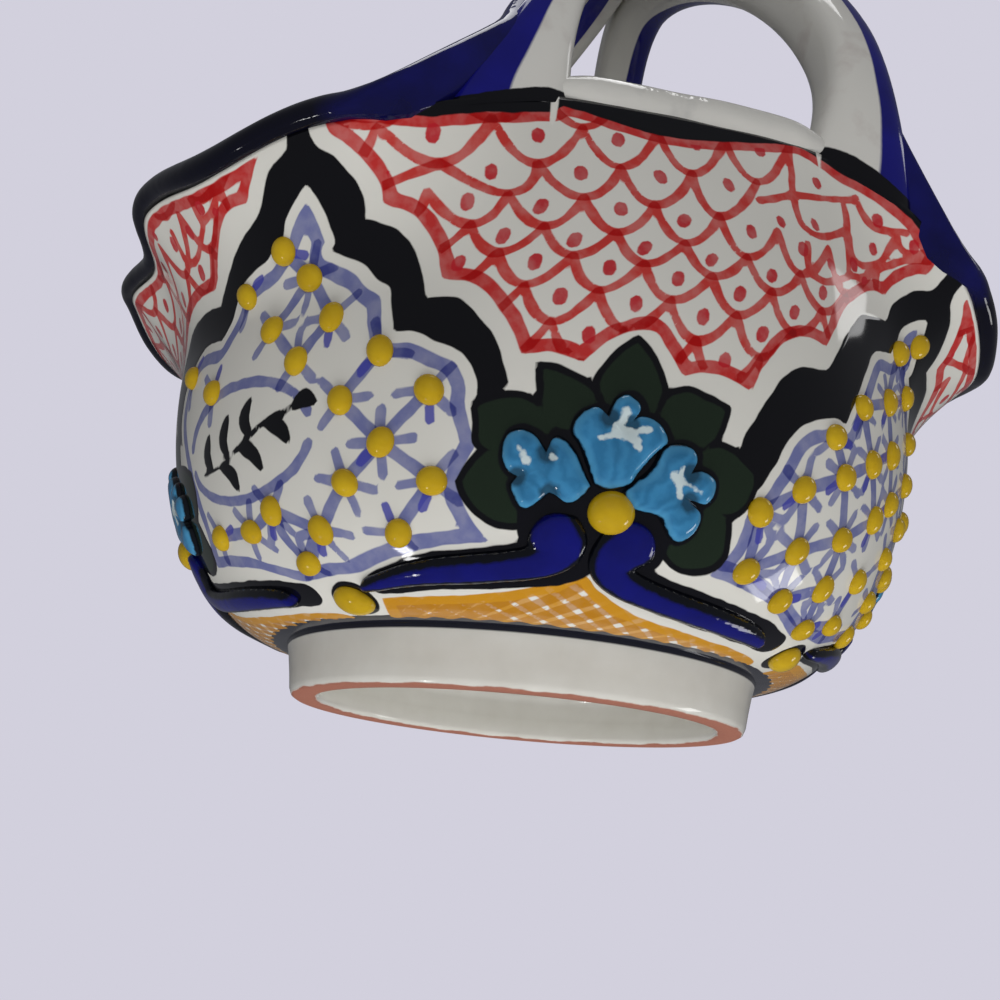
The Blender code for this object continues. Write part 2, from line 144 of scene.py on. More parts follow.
def on_wall(azimuth, up, lift):
    """Points of the outer wall, `up` metres along it from the foot and raised by `lift`."""
    s = look_up(PARAMETERS, azimuth % 360, up / HALF_MM)
    radius, height = section(azimuth, s)
    out = outward(azimuth, s)
    return turned_out(azimuth, radius + out[0] * lift, height + out[1] * lift)


def coordinates(piece):
    """The piece's points as an array."""
    flat = np.empty(len(piece.data.vertices) * 3)
    piece.data.vertices.foreach_get("co", flat)
    return flat.reshape(-1, 3)


def put(piece, points):
    """Move the piece's points to the given places."""
    piece.data.vertices.foreach_set("co", np.asarray(points, dtype=float).ravel())
    piece.data.update()


def store(piece, name, values):
    """Keep one number for each point under a name that the paint reads."""
    kept = piece.data.attributes.new(name, "FLOAT", "POINT")
    kept.data.foreach_set("value", np.asarray(values, dtype=np.float32))


def close_up(piece, distance=1e-5):
    """Merge doubled points along seams and at poles, face outwards and shade smooth."""
    bpy.ops.object.mode_set(mode="EDIT")
    bpy.ops.mesh.select_all(action="SELECT")
    bpy.ops.mesh.remove_doubles(threshold=distance)
    bpy.ops.mesh.normals_make_consistent(inside=False)
    bpy.ops.object.mode_set(mode="OBJECT")
    bpy.ops.object.shade_smooth()
    piece.select_set(False)


# Rows of points: the parameter up the wall, or the radius on the underside and the inner floor
PROFILE = [[0, 0.012, 0.024, 0.036, 0.044, 0.048],
           [*np.linspace(0, 1, 67), *np.linspace(1, 2, 46)[1:]], [2],
           np.linspace(2, 1, 19), np.linspace(1, 0, 17)[1:], [0.040, 0.032, 0.022, 0.011, 0]]
UNDERSIDE, OUTER, TOP, INNER, DISH, FLOOR = range(6)
ROUND = 576
rows = sum(len(run) for run in PROFILE)
bpy.ops.object.select_all(action="DESELECT")
bpy.ops.mesh.primitive_grid_add(x_subdivisions=ROUND, y_subdivisions=rows - 1, size=2)
bowl = bpy.context.object
bowl.name = "glazed_bowl"
sheet = coordinates(bowl)
azimuth = (sheet[:, 0] + 1) * 180
row = np.rint((sheet[:, 1] + 1) / 2 * (rows - 1)).astype(int)
kind = np.repeat(range(6), [len(run) for run in PROFILE])[row]
value = np.concatenate(PROFILE)[row]
s = np.where((kind >= OUTER) & (kind <= INNER), value, 2.0)
radius, height = section(azimuth, s)
out = outward(azimuth, s)
sunk = np.select([kind == INNER, kind == TOP], [WALL, WALL / 2], 0)
radius = radius - out[0] * sunk
height = height - out[1] * sunk
curve = value * pi / 2
dish_radius = FLOOR_RADIUS + (BELLY_RADIUS - WALL - FLOOR_RADIUS) * np.sin(curve)
dish_height = BELLY_HEIGHT - (BELLY_HEIGHT - FLOOR_TOP) * np.cos(curve)
plain = [kind == DISH, kind == UNDERSIDE, kind == FLOOR]
radius = np.select(plain, [dish_radius, value, value], radius)
height = np.select(plain, [dish_height, SEAT, FLOOR_TOP], height)
put(bowl, turned_out(azimuth, radius, height))

# Places to paint: the outer wall's points, their azimuth, length up the wall and radius in mm
painted = np.flatnonzero((kind == OUTER) | (kind == TOP))
wall_azimuth = azimuth[painted]
wall_up = 1000 * look_up(LENGTHS, wall_azimuth, s[painted] * PER_PART)
wall_radius = 1000 * radius[painted]
wall_end = 1000 * look_up(LENGTHS, wall_azimuth, np.full(len(painted), 2.0 * PER_PART))


# Drawing on the wall
# The design is the same in each quarter. It is laid out in degrees and in millimetres up the
# wall, and it leans a few degrees to the left as the painter's hand turns the bowl.
LEAN = np.array([(0, -6.0), (12, -6.0), (25, -9.5), (55, -8.5), (90, -4.0)])
QUARTERS = {"front": 0, "right": 90, "back": 180, "left": -90}
CORNERS = {"front_right": 45, "back_right": 135, "back_left": 225, "front_left": -45}
BATCH = 3000
paint = {}


def near(middle, reach=62):
    """Index and local azimuth, height and radius of the wall's points round a middle."""
    local = (wall_azimuth - middle + 180) % 360 - 180 - smooth(LEAN, 1, wall_up)
    found = np.flatnonzero(abs(local) < reach)
    return found, (local[found], wall_up[found], wall_radius[found])


def bend(lobes, steps=6):
    """One line through lobes, each a smooth curve from the corner where the last one ended."""
    line = []
    for number, lobe in enumerate(lobes):
        points = np.array([*lobes[number - 1][-1:], *lobe] if number else lobe, dtype=float)
        before = np.vstack((points[:1], points[:-1]))
        after = np.vstack((points[2:], points[-1:], points[-1:]))
        for p0, p1, p2, p3 in zip(before, points, points[1:], after):
            for t in np.linspace(0, 1, steps, endpoint=False):
                sway = (2 * p0 - 5 * p1 + 4 * p2 - p3) * t * t
                twist = (3 * p1 - p0 - 3 * p2 + p3) * t ** 3
                line.append((2 * p1 + (p2 - p0) * t + sway + twist) / 2)
        line.append(points[-1])
    return np.array(line)


def stretches(line, halves):
    """A line as rows of start, end and half width."""
    halves = np.broadcast_to(halves, len(line) - 1)[:, None]
    return np.hstack((line[:-1], line[1:], halves))


def from_strokes(place, strokes):
    """Distance to the nearest edge of the strokes, negative inside, measured on the wall."""
    local, up, radius = place
    found = np.empty(len(local))
    for start in range(0, len(local), BATCH):
        part = slice(start, start + BATCH)
        scale = np.radians(radius[part])[:, None]
        ax = (strokes[:, 0] - local[part, None]) * scale
        ay = strokes[:, 1] - up[part, None]
        bx = (strokes[:, 2] - strokes[:, 0]) * scale
        by = strokes[:, 3] - strokes[:, 1]
        along = np.clip(-(ax * bx + ay * by) / (bx * bx + by * by + 1e-9), 0, 1)
        apart = np.hypot(ax + bx * along, ay + by * along) - strokes[:, 4]
        found[part] = apart.min(axis=1)
    return found


def from_shape(place, line):
    """Distance to the outline of a closed shape, negative inside."""
    apart = from_strokes(place, stretches(np.vstack((line, line[:1])), 0))
    local, up = place[0][:, None], place[1][:, None]
    ends = np.roll(line, -1, axis=0)
    across = (line[:, 1] > up) != (ends[:, 1] > up)
    rise = np.where(ends[:, 1] == line[:, 1], 1e-9, ends[:, 1] - line[:, 1])
    cross = line[:, 0] + (up - line[:, 1]) / rise * (ends[:, 0] - line[:, 0])
    inside = (across & (local < cross)).sum(axis=1) % 2 == 1
    return np.where(inside, -apart, apart)


def lay(name, found, apart):
    """Add brushwork to a colour, which is kept as the distance to its nearest edge."""
    if name not in paint:
        paint[name] = np.full(len(painted), 9.0)
    paint[name][found] = np.minimum(paint[name][found], apart)


# Scalloped black borders and what they enclose
# Each lattice panel stands in a broad scalloped border of black slip that meets the rim.
RIGHT_OUTER = [
    [(1.6, 104), (1.4, 92), (4.1, 87.4), (6.6, 81.7), (7.2, 77.4)],
    [(9, 76.5), (11.6, 75), (14.8, 70.3), (17.6, 63)],
    [(21.6, 62.8), (25, 59.2), (27.5, 55), (29.7, 48)]]
RIGHT_INNER = [
    [(0.2, 85), (1.8, 80), (3.4, 74.6), (2.9, 73)],
    [(4.8, 71.7), (7.4, 70), (10, 67), (12.3, 65), (13.2, 62), (14.3, 57)],
    [(17.3, 56.8), (20.5, 55), (23.6, 53), (25.7, 49), (26, 45)]]
LEFT_OUTER = [
    [(-1.6, 104), (-1.2, 92), (-4.1, 88.3), (-6.7, 84), (-7.4, 79.6)],
    [(-12.4, 78), (-15, 74.5), (-17.4, 67), (-18.9, 62.2)],
    [(-23.2, 60.8), (-25.6, 58.4), (-27.6, 53.5), (-29.8, 47), (-30, 43)]]
LEFT_INNER = [
    [(0.2, 85), (-1.9, 83), (-3.4, 80), (-3.5, 77.5), (-4.2, 74)],
    [(-7.8, 72.6), (-9.5, 70), (-11.6, 61), (-13.4, 54)],
    [(-15.7, 54.2), (-20.4, 51.7), (-23, 48), (-24.2, 43), (-25.7, 38)]]
WIDE_OUTER = [
    [(-1.6, 104), (-1.4, 92), (-4, 88.5), (-6.5, 82.5), (-8, 80.8)],
    [(-11, 78.5), (-14.9, 74.2), (-18.6, 70)],
    [(-24.5, 70.5), (-31, 69), (-35.5, 65), (-37.5, 60), (-37, 54), (-35, 50)]]
WIDE_INNER = [
    [(0.2, 85), (-2.9, 80), (-4.2, 76.7), (-6.9, 73.7)],
    [(-10, 72.6), (-12.7, 71), (-15.2, 66.3), (-17.2, 63)],
    [(-22.5, 63.8), (-27, 61), (-30, 57), (-31.5, 52), (-31, 47)]]
PANEL_FOOT = [
    [(28, 38), (26, 31), (29, 24), (30, 20.5), (20, 18.8), (12, 16.4), (5, 13.8), (0, 13.4),
     (-5, 12.6), (-9.5, 13), (-17.5, 17), (-26.8, 19), (-31, 20.5), (-28, 27), (-28, 33)]]
# Beads: degrees from the middle of the panel, millimetres up the wall
BEAD_RADIUS = 2.6
BEAD_HEIGHT = 0.0018
PANEL_BEADS = [
    (1.5, 79.5), (-2, 75.5), (4.5, 69), (-2.5, 64), (11, 62), (-10, 59), (1, 54.5), (11.5, 53),
    (-15, 51), (-5, 50), (20.5, 48.5), (4.5, 46), (-11, 45), (14, 44.5), (0, 41), (-18.5, 40),
    (11, 37), (24.5, 37), (18, 35.5), (-7, 34.5), (-24.5, 34), (3.5, 29.5), (-15.5, 29.5),
    (14.5, 28.5), (22, 27), (-5.5, 25), (-23, 23.5), (4, 20), (15.5, 20.5), (-14.5, 20),
    (-5, 16.5)]
OVAL_PANEL_BEADS = [
    (-4, 74.5), (0, 69), (-11.5, 69), (5, 61), (-5, 61), (-26, 59), (13, 54), (0.5, 54),
    (-17.5, 53), (20, 47), (8, 46), (14, 38.5), (21, 32), (8.5, 32), (-5.5, 28.5), (-21, 26),
    (-11.5, 25.5), (3, 24), (15.5, 23), (-3.5, 18)]
OVAL = (-11, 42, 14.5, 10.5)
# Half widths of the strokes, how far dabs and dark accents reach from a bead, how near the next
# bead is, and the least angles between strokes that leave room for one dab and for two
RING_HALF, JOIN_HALF, OVAL_HALF, DAB_HALF, ACCENT_HALF = 1.25, 1.15, 1.0, 0.9, 0.85
DAB_REACH = 5.6
ACCENT_FROM, ACCENT_TO = 2.6, 4.9
NEIGHBOUR = 11.8
ONE_DAB, TWO_DABS = 0.8, 1.9
RING_INSET = 3.1
beads = {}
enclosed = np.full(len(painted), 99.0)
for corner, middle in CORNERS.items():
    found, place = near(middle, 50)
    open_oval = corner == "front_left"
    beads[corner] = OVAL_PANEL_BEADS if open_oval else PANEL_BEADS
    right_out, right_in = bend(RIGHT_OUTER), bend(RIGHT_INNER)
    left_out = bend(WIDE_OUTER if open_oval else LEFT_OUTER)
    left_in = bend(WIDE_INNER if open_oval else LEFT_INNER)
    border = np.vstack((right_out, right_in[::-1], left_in, left_out[::-1]))
    lay("black", found, from_shape(place, border))
    whole = np.vstack((right_out, [(33, 30), (20, 10), (-20, 10), (-33, 30)], left_out[::-1]))
    enclosed[found] = np.minimum(enclosed[found], from_shape(place, whole))
    panel = from_shape(place, np.vstack((right_in, bend(PANEL_FOOT), left_in[::-1])))
    lay("violet", found, abs(panel + RING_INSET) - RING_HALF)
    spots = np.array(beads[corner], dtype=float)
    # Strokes between neighbouring beads, and dabs in the open angles round each bead
    joins, dabs, accents = [], [], []
    for i, (a, up) in enumerate(spots):
        scale = radians(1) * np.interp(up, [10, 30, 60, 80], [57, 70, 80, 86])
        offsets = (spots - spots[i]) * (scale, 1)
        apart = np.hypot(*offsets.T)
        angles = []
        for j in np.flatnonzero((apart > 1) & (apart < NEIGHBOUR)):
            half_way = (spots[i] + spots[j]) / 2
            oval = ((half_way[0] - OVAL[0]) / OVAL[2], (half_way[1] - OVAL[1]) / OVAL[3])
            if open_oval and np.hypot(*oval) < 1:
                continue
            angles.append(np.arctan2(offsets[j][1], offsets[j][0]))
            if j > i:
                joins.append((*spots[i], *spots[j], JOIN_HALF))
        angles = sorted(angles) or [0.3]
        angles.append(angles[0] + 2 * pi)
        for first, second in zip(angles, angles[1:]):
            if second - first < ONE_DAB:
                continue
            count = 1 if second - first < TWO_DABS else 2
            for k in range(count):
                turn = first + (second - first) * (k + 1) / (count + 1)
                tip = (a + cos(turn) * DAB_REACH / scale, up + sin(turn) * DAB_REACH)
                dabs.append((a, up, *tip, DAB_HALF))
        turn = angles[0] + 0.45 + 0.5 * sin(5 * i)
        ends = [(a + cos(turn) * r / scale, up + sin(turn) * r) for r in (ACCENT_FROM, ACCENT_TO)]
        if i % 3 != 1:
            accents.append((*ends[0], *ends[1], ACCENT_HALF))
    if open_oval:
        sweep = np.radians(np.linspace(15, 165, 14))
        for way in (1, -1):
            arch = (OVAL[0] + OVAL[2] * np.cos(sweep), OVAL[1] + way * OVAL[3] * np.sin(sweep))
            joins.extend(stretches(np.stack(arch, 1), OVAL_HALF))
    for name, strokes, inset in (("violet_joins", joins, 1.6), ("violet_dabs", dabs, 1.8),
                                 ("blue_accents", accents, 1.2)):
        lay(name, found, np.maximum(from_strokes(place, np.array(strokes)), panel + inset))

# The open oval of the front left panel carries a plain brushed sprig: a stem and seven leaves,
# each one stroke of a pointed brush, pressed and lifted
STEM = [(-21.5, 38.2), (-16, 38.8), (-10.5, 41), (-5, 44.2), (0.5, 46)]
SPRIG_LEAVES = [((-18.5, 38.6), (-19.8, 41.6), (-18.6, 45.2)),
                ((-16, 38.8), (-13.2, 36.6), (-12, 33.4)),
                ((-13.4, 39.8), (-14.6, 43.4), (-13.2, 47.2)),
                ((-10.6, 41), (-7.6, 39.2), (-6, 36)), ((-8, 42.6), (-9.2, 45.8), (-7.6, 49.2)),
                ((-5, 44.2), (-2, 42.8), (-0.4, 39.8)), ((0.2, 45.8), (2.2, 47.2), (4.2, 46.2))]
found, place = near(CORNERS["front_left"], 50)
line = bend([STEM])
lay("black", found, from_strokes(place, stretches(line, np.linspace(0.35, 0.6, len(line) - 1))))
for leaf in SPRIG_LEAVES:
    line = bend([leaf], 8)
    swell = np.sin(np.linspace(0.15, pi - 0.15, len(line) - 1)) ** 1.2
    lay("black", found, from_strokes(place, stretches(line, 0.25 + 1.35 * swell)))


# Red scale ground
# Fish scales in thin iron-red strokes fill the wall between two borders, up to a black band
# under the window or up to the rim, with a dot in each scale and a heavier line all round.
RED_FOOT = [
    [(-43, 112), (-42, 90), (-39.5, 87.5), (-37.5, 82.4), (-37.3, 81)],
    [(-35.2, 79.7), (-30.4, 75), (-27, 67)],
    [(-22, 64.7), (-18.9, 60), (-16.5, 55.5), (-14.2, 53.4)],
    [(-10.7, 54.4), (-7.2, 53)],
    [(-3.8, 58), (0.2, 60.2), (2.4, 58), (5.3, 53.4)],
    [(9.2, 54.9), (14.6, 53.8)],
    [(15.7, 58.3), (18.3, 64.7), (22, 67), (25.8, 66.7)],
    [(27.5, 76), (33, 83.8), (38, 85), (42, 91), (48, 112)]]
BAND_FOOT = [
    [(-46, 120), (-43, 97), (-39, 95.2), (-35, 94.4), (-31, 94.6), (-25, 97.2), (-18, 101.2),
     (-16.5, 103), (-9.5, 102.4), (-1.5, 102.2), (8, 105), (17.8, 108.6), (22.2, 108.8),
     (27.2, 106.5), (32, 104), (37.2, 100.7), (43, 98), (45, 120)]]
# Rows of scales: height at the middle, rise and its bend per degree, first node, pitch, stretch
SCALE_ROWS = [
    (47, 0, -2.9, 8.8, 0), (53, 0, 1.4, 8.8, 0), (59.5, 0.02, -2.9, 8.8, 0),
    (66, 0.03, 1.5, 8.8, 0), (72.3, 0.05, -3.0, 8.8, 0), (78, 0.07, 1.2, 8.8, 0),
    (85.4, 0.12, -3.6, 9.1, 0.05), (94.3, 0.25, 2.0, 10.2, 0.2), (103.5, 0.3, -3.0, 10.6, 0.2),
    (113, 0.3, 2.0, 10.8, 0.2)]
# The last scales on the right are smaller and drawn one by one
END_STROKES = [
    [(18.8, 107.7), (18.7, 101.9), (18.5, 97.4), (19.3, 91.2), (23, 90), (28.2, 94.2)],
    [(18.5, 97.4), (23.6, 99.1), (29, 101)],
    [(18.5, 97.4), (15.2, 94.8), (12.4, 93)],
    [(28.1, 93), (28.2, 88.6), (28.2, 84)],
    [(20.1, 87), (20.2, 81.2), (23.4, 80.1), (28.2, 84)],
    [(27.6, 100.4), (28.1, 97.4), (28.2, 94)],
    [(29.6, 101.8), (30.8, 98.7), (32.8, 96.7), (37, 98.1)],
    [(28.4, 93.2), (29, 89), (31, 88), (34, 90), (35.3, 93.5), (35.9, 96.9)],
    [(35.9, 96.9), (37.1, 94.7), (39.1, 94.8), (40.9, 97.1), (41, 99)],
    [(28.2, 84.4), (31.2, 85.6), (34.2, 88.9), (38, 92.9), (41.1, 95)]]
END_DOTS = [
    (32.8, 98.7), (32.6, 92.8), (38.6, 96.6), (38.4, 90.8), (31.6, 85), (23.2, 102.6),
    (21.8, 92.6), (24.4, 85), (15.4, 90)]
END_ROW, END_FROM = 5, 16.5
# Half widths of the strokes and dots, and the white left between the red and the black
SCALE_HALF, END_HALF, DOT_HALF, END_DOT_HALF, OUTLINE_HALF = 0.85, 0.8, 1.15, 1.0, 1.15
RED_MARGIN = 3.2


def nodes_of(row):
    """Points of a row where two scales meet."""
    level, rise, first, pitch, stretch = row
    k = np.arange(-6, 7)
    across = first + pitch * k + stretch * k * abs(k)
    return np.stack((across, level + rise * across), 1)


def scale_strokes():
    """Each scale hangs between two nodes of its row down to the node of the row below."""
    odd, even, dots = [], [], []
    for number, (lower, upper) in enumerate(zip(SCALE_ROWS, SCALE_ROWS[1:])):
        low, high = nodes_of(lower), nodes_of(upper)
        for left, right in zip(high, high[1:]):
            middle = (left + right) / 2
            if number > END_ROW and middle[0] > END_FROM:
                continue
            under = low[np.argmin(abs(low[:, 0] - middle[0]))]
            t = np.linspace(0, pi, 13)
            sag = np.sin(t) ** 1.05
            sideways = 0.28 * np.cos(t) + 0.72 * (1 - 2 * t / pi)
            turned = (middle[0] - (right[0] - left[0]) / 2 * sideways
                      + (under[0] - middle[0]) * np.sin(t))
            level = left[1] + (right[1] - left[1]) * t / pi
            line = np.stack((turned, level + (under[1] - middle[1]) * sag), 1)
            (odd if number % 2 else even).extend(stretches(line, SCALE_HALF))
            wander = 0.5 * sin(7 * middle[0] + middle[1])
            dots.append((middle[0] + wander * 0.6, middle[1] - 1.6 + wander,
                         middle[0] + wander, middle[1] - 2.6 + wander, DOT_HALF))
    for line in END_STROKES:
        odd.extend(stretches(bend([line]), END_HALF))
    dots.extend((a, up, a + 0.2, up - 0.8, END_DOT_HALF) for a, up in END_DOTS)
    return np.array(odd), np.array(even), np.array(dots)


odd, even, dots = scale_strokes()
for quarter, middle in QUARTERS.items():
    found, place = near(middle, 56)
    ground = from_shape(place, bend(RED_FOOT))
    if quarter in ("front", "back"):
        band = from_shape(place, bend(BAND_FOOT))
        lay("black", found, band)
        ground = np.maximum(ground, -0.3 - band)
    else:
        ground = np.maximum(ground, place[1] - wall_end[found] + 1)
    ground = np.maximum(ground, RED_MARGIN - enclosed[found])
    lay("red_outline", found, abs(ground + 1.0) - OUTLINE_HALF)
    for name, strokes, inset in (("red_odd", odd, 0), ("red_even", even, 0),
                                 ("red_dots", dots, 1.4)):
        lay(name, found, np.maximum(from_strokes(place, strokes), ground + inset))

# Painted highlights: pale streaks over the band at the inner corners of the handle, where the
# light catches the joints
PAINTED_HIGHLIGHTS = [[(-18, 108), (-17.8, 103), (-18, 98.5)], [(24, 112), (24.2, 107), (24.4, 104.5)]]
found, place = near(0)
for highlight_streak in PAINTED_HIGHLIGHTS:
    line = bend([highlight_streak])
    highlight_strokes = stretches(line, np.linspace(0.8, 0.35, len(line) - 1))
    lay("drips", found, from_strokes(place, highlight_strokes))


# Flowers, scrolls and hatching painted on the wall
# A flower with seven dark leaves stands over two cobalt scrolls and a hatched orange foot band.
FLOWER_UP = 29
FLOWER_BEAD_RADIUS = 4.1
# Leaves and petals in millimetres from the flower's bead: the side up to the tip, then back
LEAVES = [
    [[(-12, 12), (-15.2, 15.5), (-16, 19.3), (-16.9, 22.8)],
     [(-12.8, 22.2), (-7.5, 20.1), (-5.6, 17), (-5, 12)]],
    [[(-2, 14), (-5.5, 17.5), (-7.1, 21), (-4.8, 25.8), (-1.7, 29.2)],
     [(1.8, 26.3), (3.9, 23), (4.7, 20), (3, 14)]],
    [[(4, 15), (4.5, 20), (8.2, 22.2), (12.1, 21.6), (16.3, 20.5)],
     [(16, 16.9), (15, 14), (11.9, 12.5), (7, 12)]],
    [[(10, 10), (13.2, 13.2), (15.7, 14.4), (19.2, 13.6), (23.9, 11.2)],
     [(24.4, 8.5), (23.2, 5), (20.9, 3), (17, 2.6), (12, 4)]],
    [[(12, 3), (18, 4), (20.4, 2.5), (21.3, -0.5), (21.6, -3.8)],
     [(19.4, -6.4), (15, -8), (11, -7.2), (8, -3)]],
    [[(-14, 8), (-21, 7.5), (-24.5, 9.5), (-25.4, 12.9), (-26.2, 15.8)],
     [(-21, 17.6), (-16, 16.6), (-12, 13)]],
    [[(-12, 6), (-19, 8.6), (-23.6, 7.8), (-26.4, 3)],
     [(-24, -0.4), (-21.2, -2.8), (-17.6, -4.2), (-14, -3.6), (-8, 0)]]]
PETALS = {
    "left": [
        [(-4.7, 4), (-6.2, 1.9), (-8, 0.9), (-9.7, 1.7), (-11.2, 2.3)],
        [(-12.7, 0.7), (-14.2, -0.5), (-15.6, -0.2), (-16.6, 1.3), (-17.5, 3), (-16.7, 4.4)],
        [(-18.2, 5.2), (-19.3, 6.8), (-19.7, 8.6), (-19.4, 10.8), (-18, 11.8), (-16.3, 11.8),
         (-14.6, 11), (-12.6, 8.6)],
        [(-12.2, 10.4), (-11.5, 11.2), (-10.4, 11), (-8.8, 9.9), (-7.4, 8.1), (-6.1, 5.9),
         (-4.7, 4)]],
    "middle": [
        [(-4.2, 4.6), (-5.7, 7.5), (-7.2, 10.3), (-8.7, 12), (-8.9, 13.6), (-8.1, 15.2),
         (-6.8, 16.2), (-5.3, 16.7), (-3.5, 15.4)],
        [(-3, 17.2), (-2.4, 18.5), (-1.1, 19.3), (0.3, 18.9), (1.4, 17.9), (1.4, 16.7),
         (0.1, 14.6)],
        [(1.2, 15.9), (2.8, 16.2), (4.6, 15.7), (6, 14.6), (6.8, 13), (6, 11.8), (4.8, 10.4),
         (3.4, 8.6), (2.3, 6.6), (1.6, 5.2), (-0.6, 4.2), (-2.6, 4), (-4.2, 4.6)]],
    "right": [
        [(1, 3.9), (2.7, 5.7), (4.4, 7.3), (5.5, 9.2), (6, 10.9), (7.3, 12.2), (9.2, 12.8),
         (11, 12.6), (12.1, 11.7), (12.3, 10.4), (11.5, 8.6)],
        [(13.4, 9.2), (15, 9), (16.3, 8), (16.5, 6.7), (16, 5.1), (14.9, 4), (13.9, 4.3),
         (11.9, 4.1)],
        [(13.9, 3.2), (14.7, 1.8), (14.5, 0.1), (13.6, -1.6), (11.7, -2.9), (9.9, -2.1),
         (8.8, -0.6), (7.6, 0.7), (5.9, 1.1), (4.3, 1.1), (2.7, 1.5), (1.5, 2.6), (1, 3.9)]]}
# Scrolls: degrees from the flower, height up the wall and half width of the raised slip
SCROLLS = {
    "left": (-1, [
        (9.0, 27.2, 3.2), (7.8, 24.8, 4.7), (6.4, 22.7, 4.5), (7.2, 20.6, 3.8), (10, 18.8, 3.2),
        (14, 17.7, 3.0), (19, 16.8, 3.0), (24.5, 16.1, 2.8), (29.5, 15.2, 2.5), (34, 14.0, 2.0),
        (38.3, 12.9, 1.3)]),
    "right": (1, [
        (5.2, 27.2, 3.2), (3.8, 25.0, 4.8), (1.9, 22.8, 4.5), (0.9, 20.5, 3.8), (1.8, 18.4, 3.3),
        (4.4, 16.6, 3.0), (8.6, 15.2, 2.8), (13.2, 14.2, 2.8), (18.4, 13.4, 2.8),
        (24.8, 12.6, 2.7), (31, 11.9, 2.4), (35.5, 11.2, 1.9)])}
# Scroll beads: degrees from the corner, height up the wall and radius
SCROLL_BEAD = (0, 9.2, 3.6)
ORANGE_TOP = [
    [(-41.5, -3), (-39, 9.6)],
    [(-30, 10.2), (-21.3, 11.2), (-13.3, 13.6), (-7.5, 16.8), (-5, 19)],
    [(-3.8, 16.5), (-2.5, 14.4), (1.3, 11.6), (7.9, 9.2), (20, 7.2), (34, 6), (40.5, 4),
     (41.5, -3)]]
HATCH_PITCH = 3.5
HATCH_HALF = 1.2
HATCH_RADIUS = 61
# Black line on each side of a leaf's edge, and black margin round the raised slip
LEAF_LINE = 0.6
SLIP_MARGIN = 1.0


def flat_to_wall(points):
    """Millimetres round the flower's bead as degrees and millimetres up the wall."""
    points = np.array(points, dtype=float)
    up = points[:, 1] + FLOWER_UP
    radius = 1000 * section(np.zeros(len(up)), np.interp(up, 1000 * LENGTHS[0], STEPS))[0]
    return np.stack((np.degrees(points[:, 0] / radius), up), 1)


def centre_line(side, stations, steps=5):
    """A scroll's middle line with its half widths, as degrees, heights and half widths."""
    line = bend([[(side * a, up) for a, up, half in stations]], steps)
    places = np.linspace(0, len(stations) - 1, len(line))
    halves = np.interp(places, range(len(stations)), [half for a, up, half in stations])
    return np.hstack((line, halves[:, None]))


for quarter, middle in QUARTERS.items():
    found, place = near(middle)
    for leaf in LEAVES:
        apart = from_shape(place, flat_to_wall(bend(leaf)))
        lay("black", found, apart - LEAF_LINE)
        lay("green", found, apart + LEAF_LINE)
    for petal in PETALS.values():
        lay("black_over", found, from_shape(place, flat_to_wall(bend(petal))) - SLIP_MARGIN)
    # Black fills the joints between bead, petals and scrolls
    joint = np.array([(-1.5, 3, -8, 6, 3.4), (0, 0, 2.5, 4, 5.2), (-6.5, 0.5, -1, -1, 2.6),
                      (-3.5, -4, -3, -6, 2.0)]) + (0, FLOWER_UP, 0, FLOWER_UP, 0)
    lay("black_over", found, from_strokes(place, joint))
    for side, stations in SCROLLS.values():
        line = centre_line(side, stations)
        strokes = stretches(line[:, :2], (line[:-1, 2] + line[1:, 2]) / 2)
        lay("black_over", found, from_strokes(place, strokes) - SLIP_MARGIN)
    band = from_shape(place, bend(ORANGE_TOP))
    across = np.radians(place[0]) * HATCH_RADIUS
    # The strokes close up to the left and end unevenly on the dark line over the foot
    close = 0.3 * np.clip((-12 - place[0]) / 12, 0, 1)
    ends = 3.3 + 0.35 * np.sin(across * 1.1) - place[1]
    for name, along, up in (("orange_rising", 0.64, 0.77), ("orange_falling", 0.60, -0.80)):
        apart = abs((across * along + place[1] * up) % HATCH_PITCH - HATCH_PITCH / 2)
        lay(name, found, np.maximum(np.maximum(apart - HATCH_HALF - close, band), ends))
    lay("orange_edge", found, np.maximum(abs(band + 1.0) - 1.1, ends))
for corner, middle in CORNERS.items():
    found, place = near(middle, 30)
    a, up, bead_radius = SCROLL_BEAD
    lay("black_over", found, from_strokes(place, np.array([(a, up, a, up, bead_radius + 1.1)])))
foot_line = wall_up - 3.8 - 0.4 * np.cos(2 * np.radians(wall_azimuth + 48))
lay("foot_line", np.arange(len(painted)), foot_line)
for name, apart in paint.items():
    everywhere = np.full(len(azimuth), 9.0)
    everywhere[painted] = apart
    store(bowl, name, everywhere)
close_up(bowl)


# Painted tin glaze
# Opaque white tin glaze over red clay, fired glossy. The colours are slips and stains brushed on
# it: thin ones let the white through, and where two strokes cross the colour is deeper. The pale
# streaks at the handle's corners are a painted highlight.
def linear(code):
    """Linear colour of an sRGB hex code."""
    parts = [int(code[i:i + 2], 16) / 255 for i in (1, 3, 5)]
    return [p / 12.92 if p <= 0.04045 else ((p + 0.055) / 1.055) ** 2.4 for p in parts] + [1]


def add(tree, kind, inputs=(), result=None, **settings):
    """Add a node and return its result; inputs are values, hex colours or other results."""
    made = tree.nodes.new("ShaderNode" + kind)
    for name, value in settings.items():
        setattr(made, name, value)
    sockets = [socket for socket in made.inputs if socket.enabled]
    if isinstance(inputs, dict):
        sockets, inputs = [made.inputs[name] for name in inputs], inputs.values()
    for socket, value in zip(sockets, inputs):
        if isinstance(value, bpy.types.NodeSocket):
            tree.links.new(value, socket)
        else:
            socket.default_value = linear(value) if isinstance(value, str) else value
    return made.outputs[result] if result else [o for o in made.outputs if o.enabled][0]


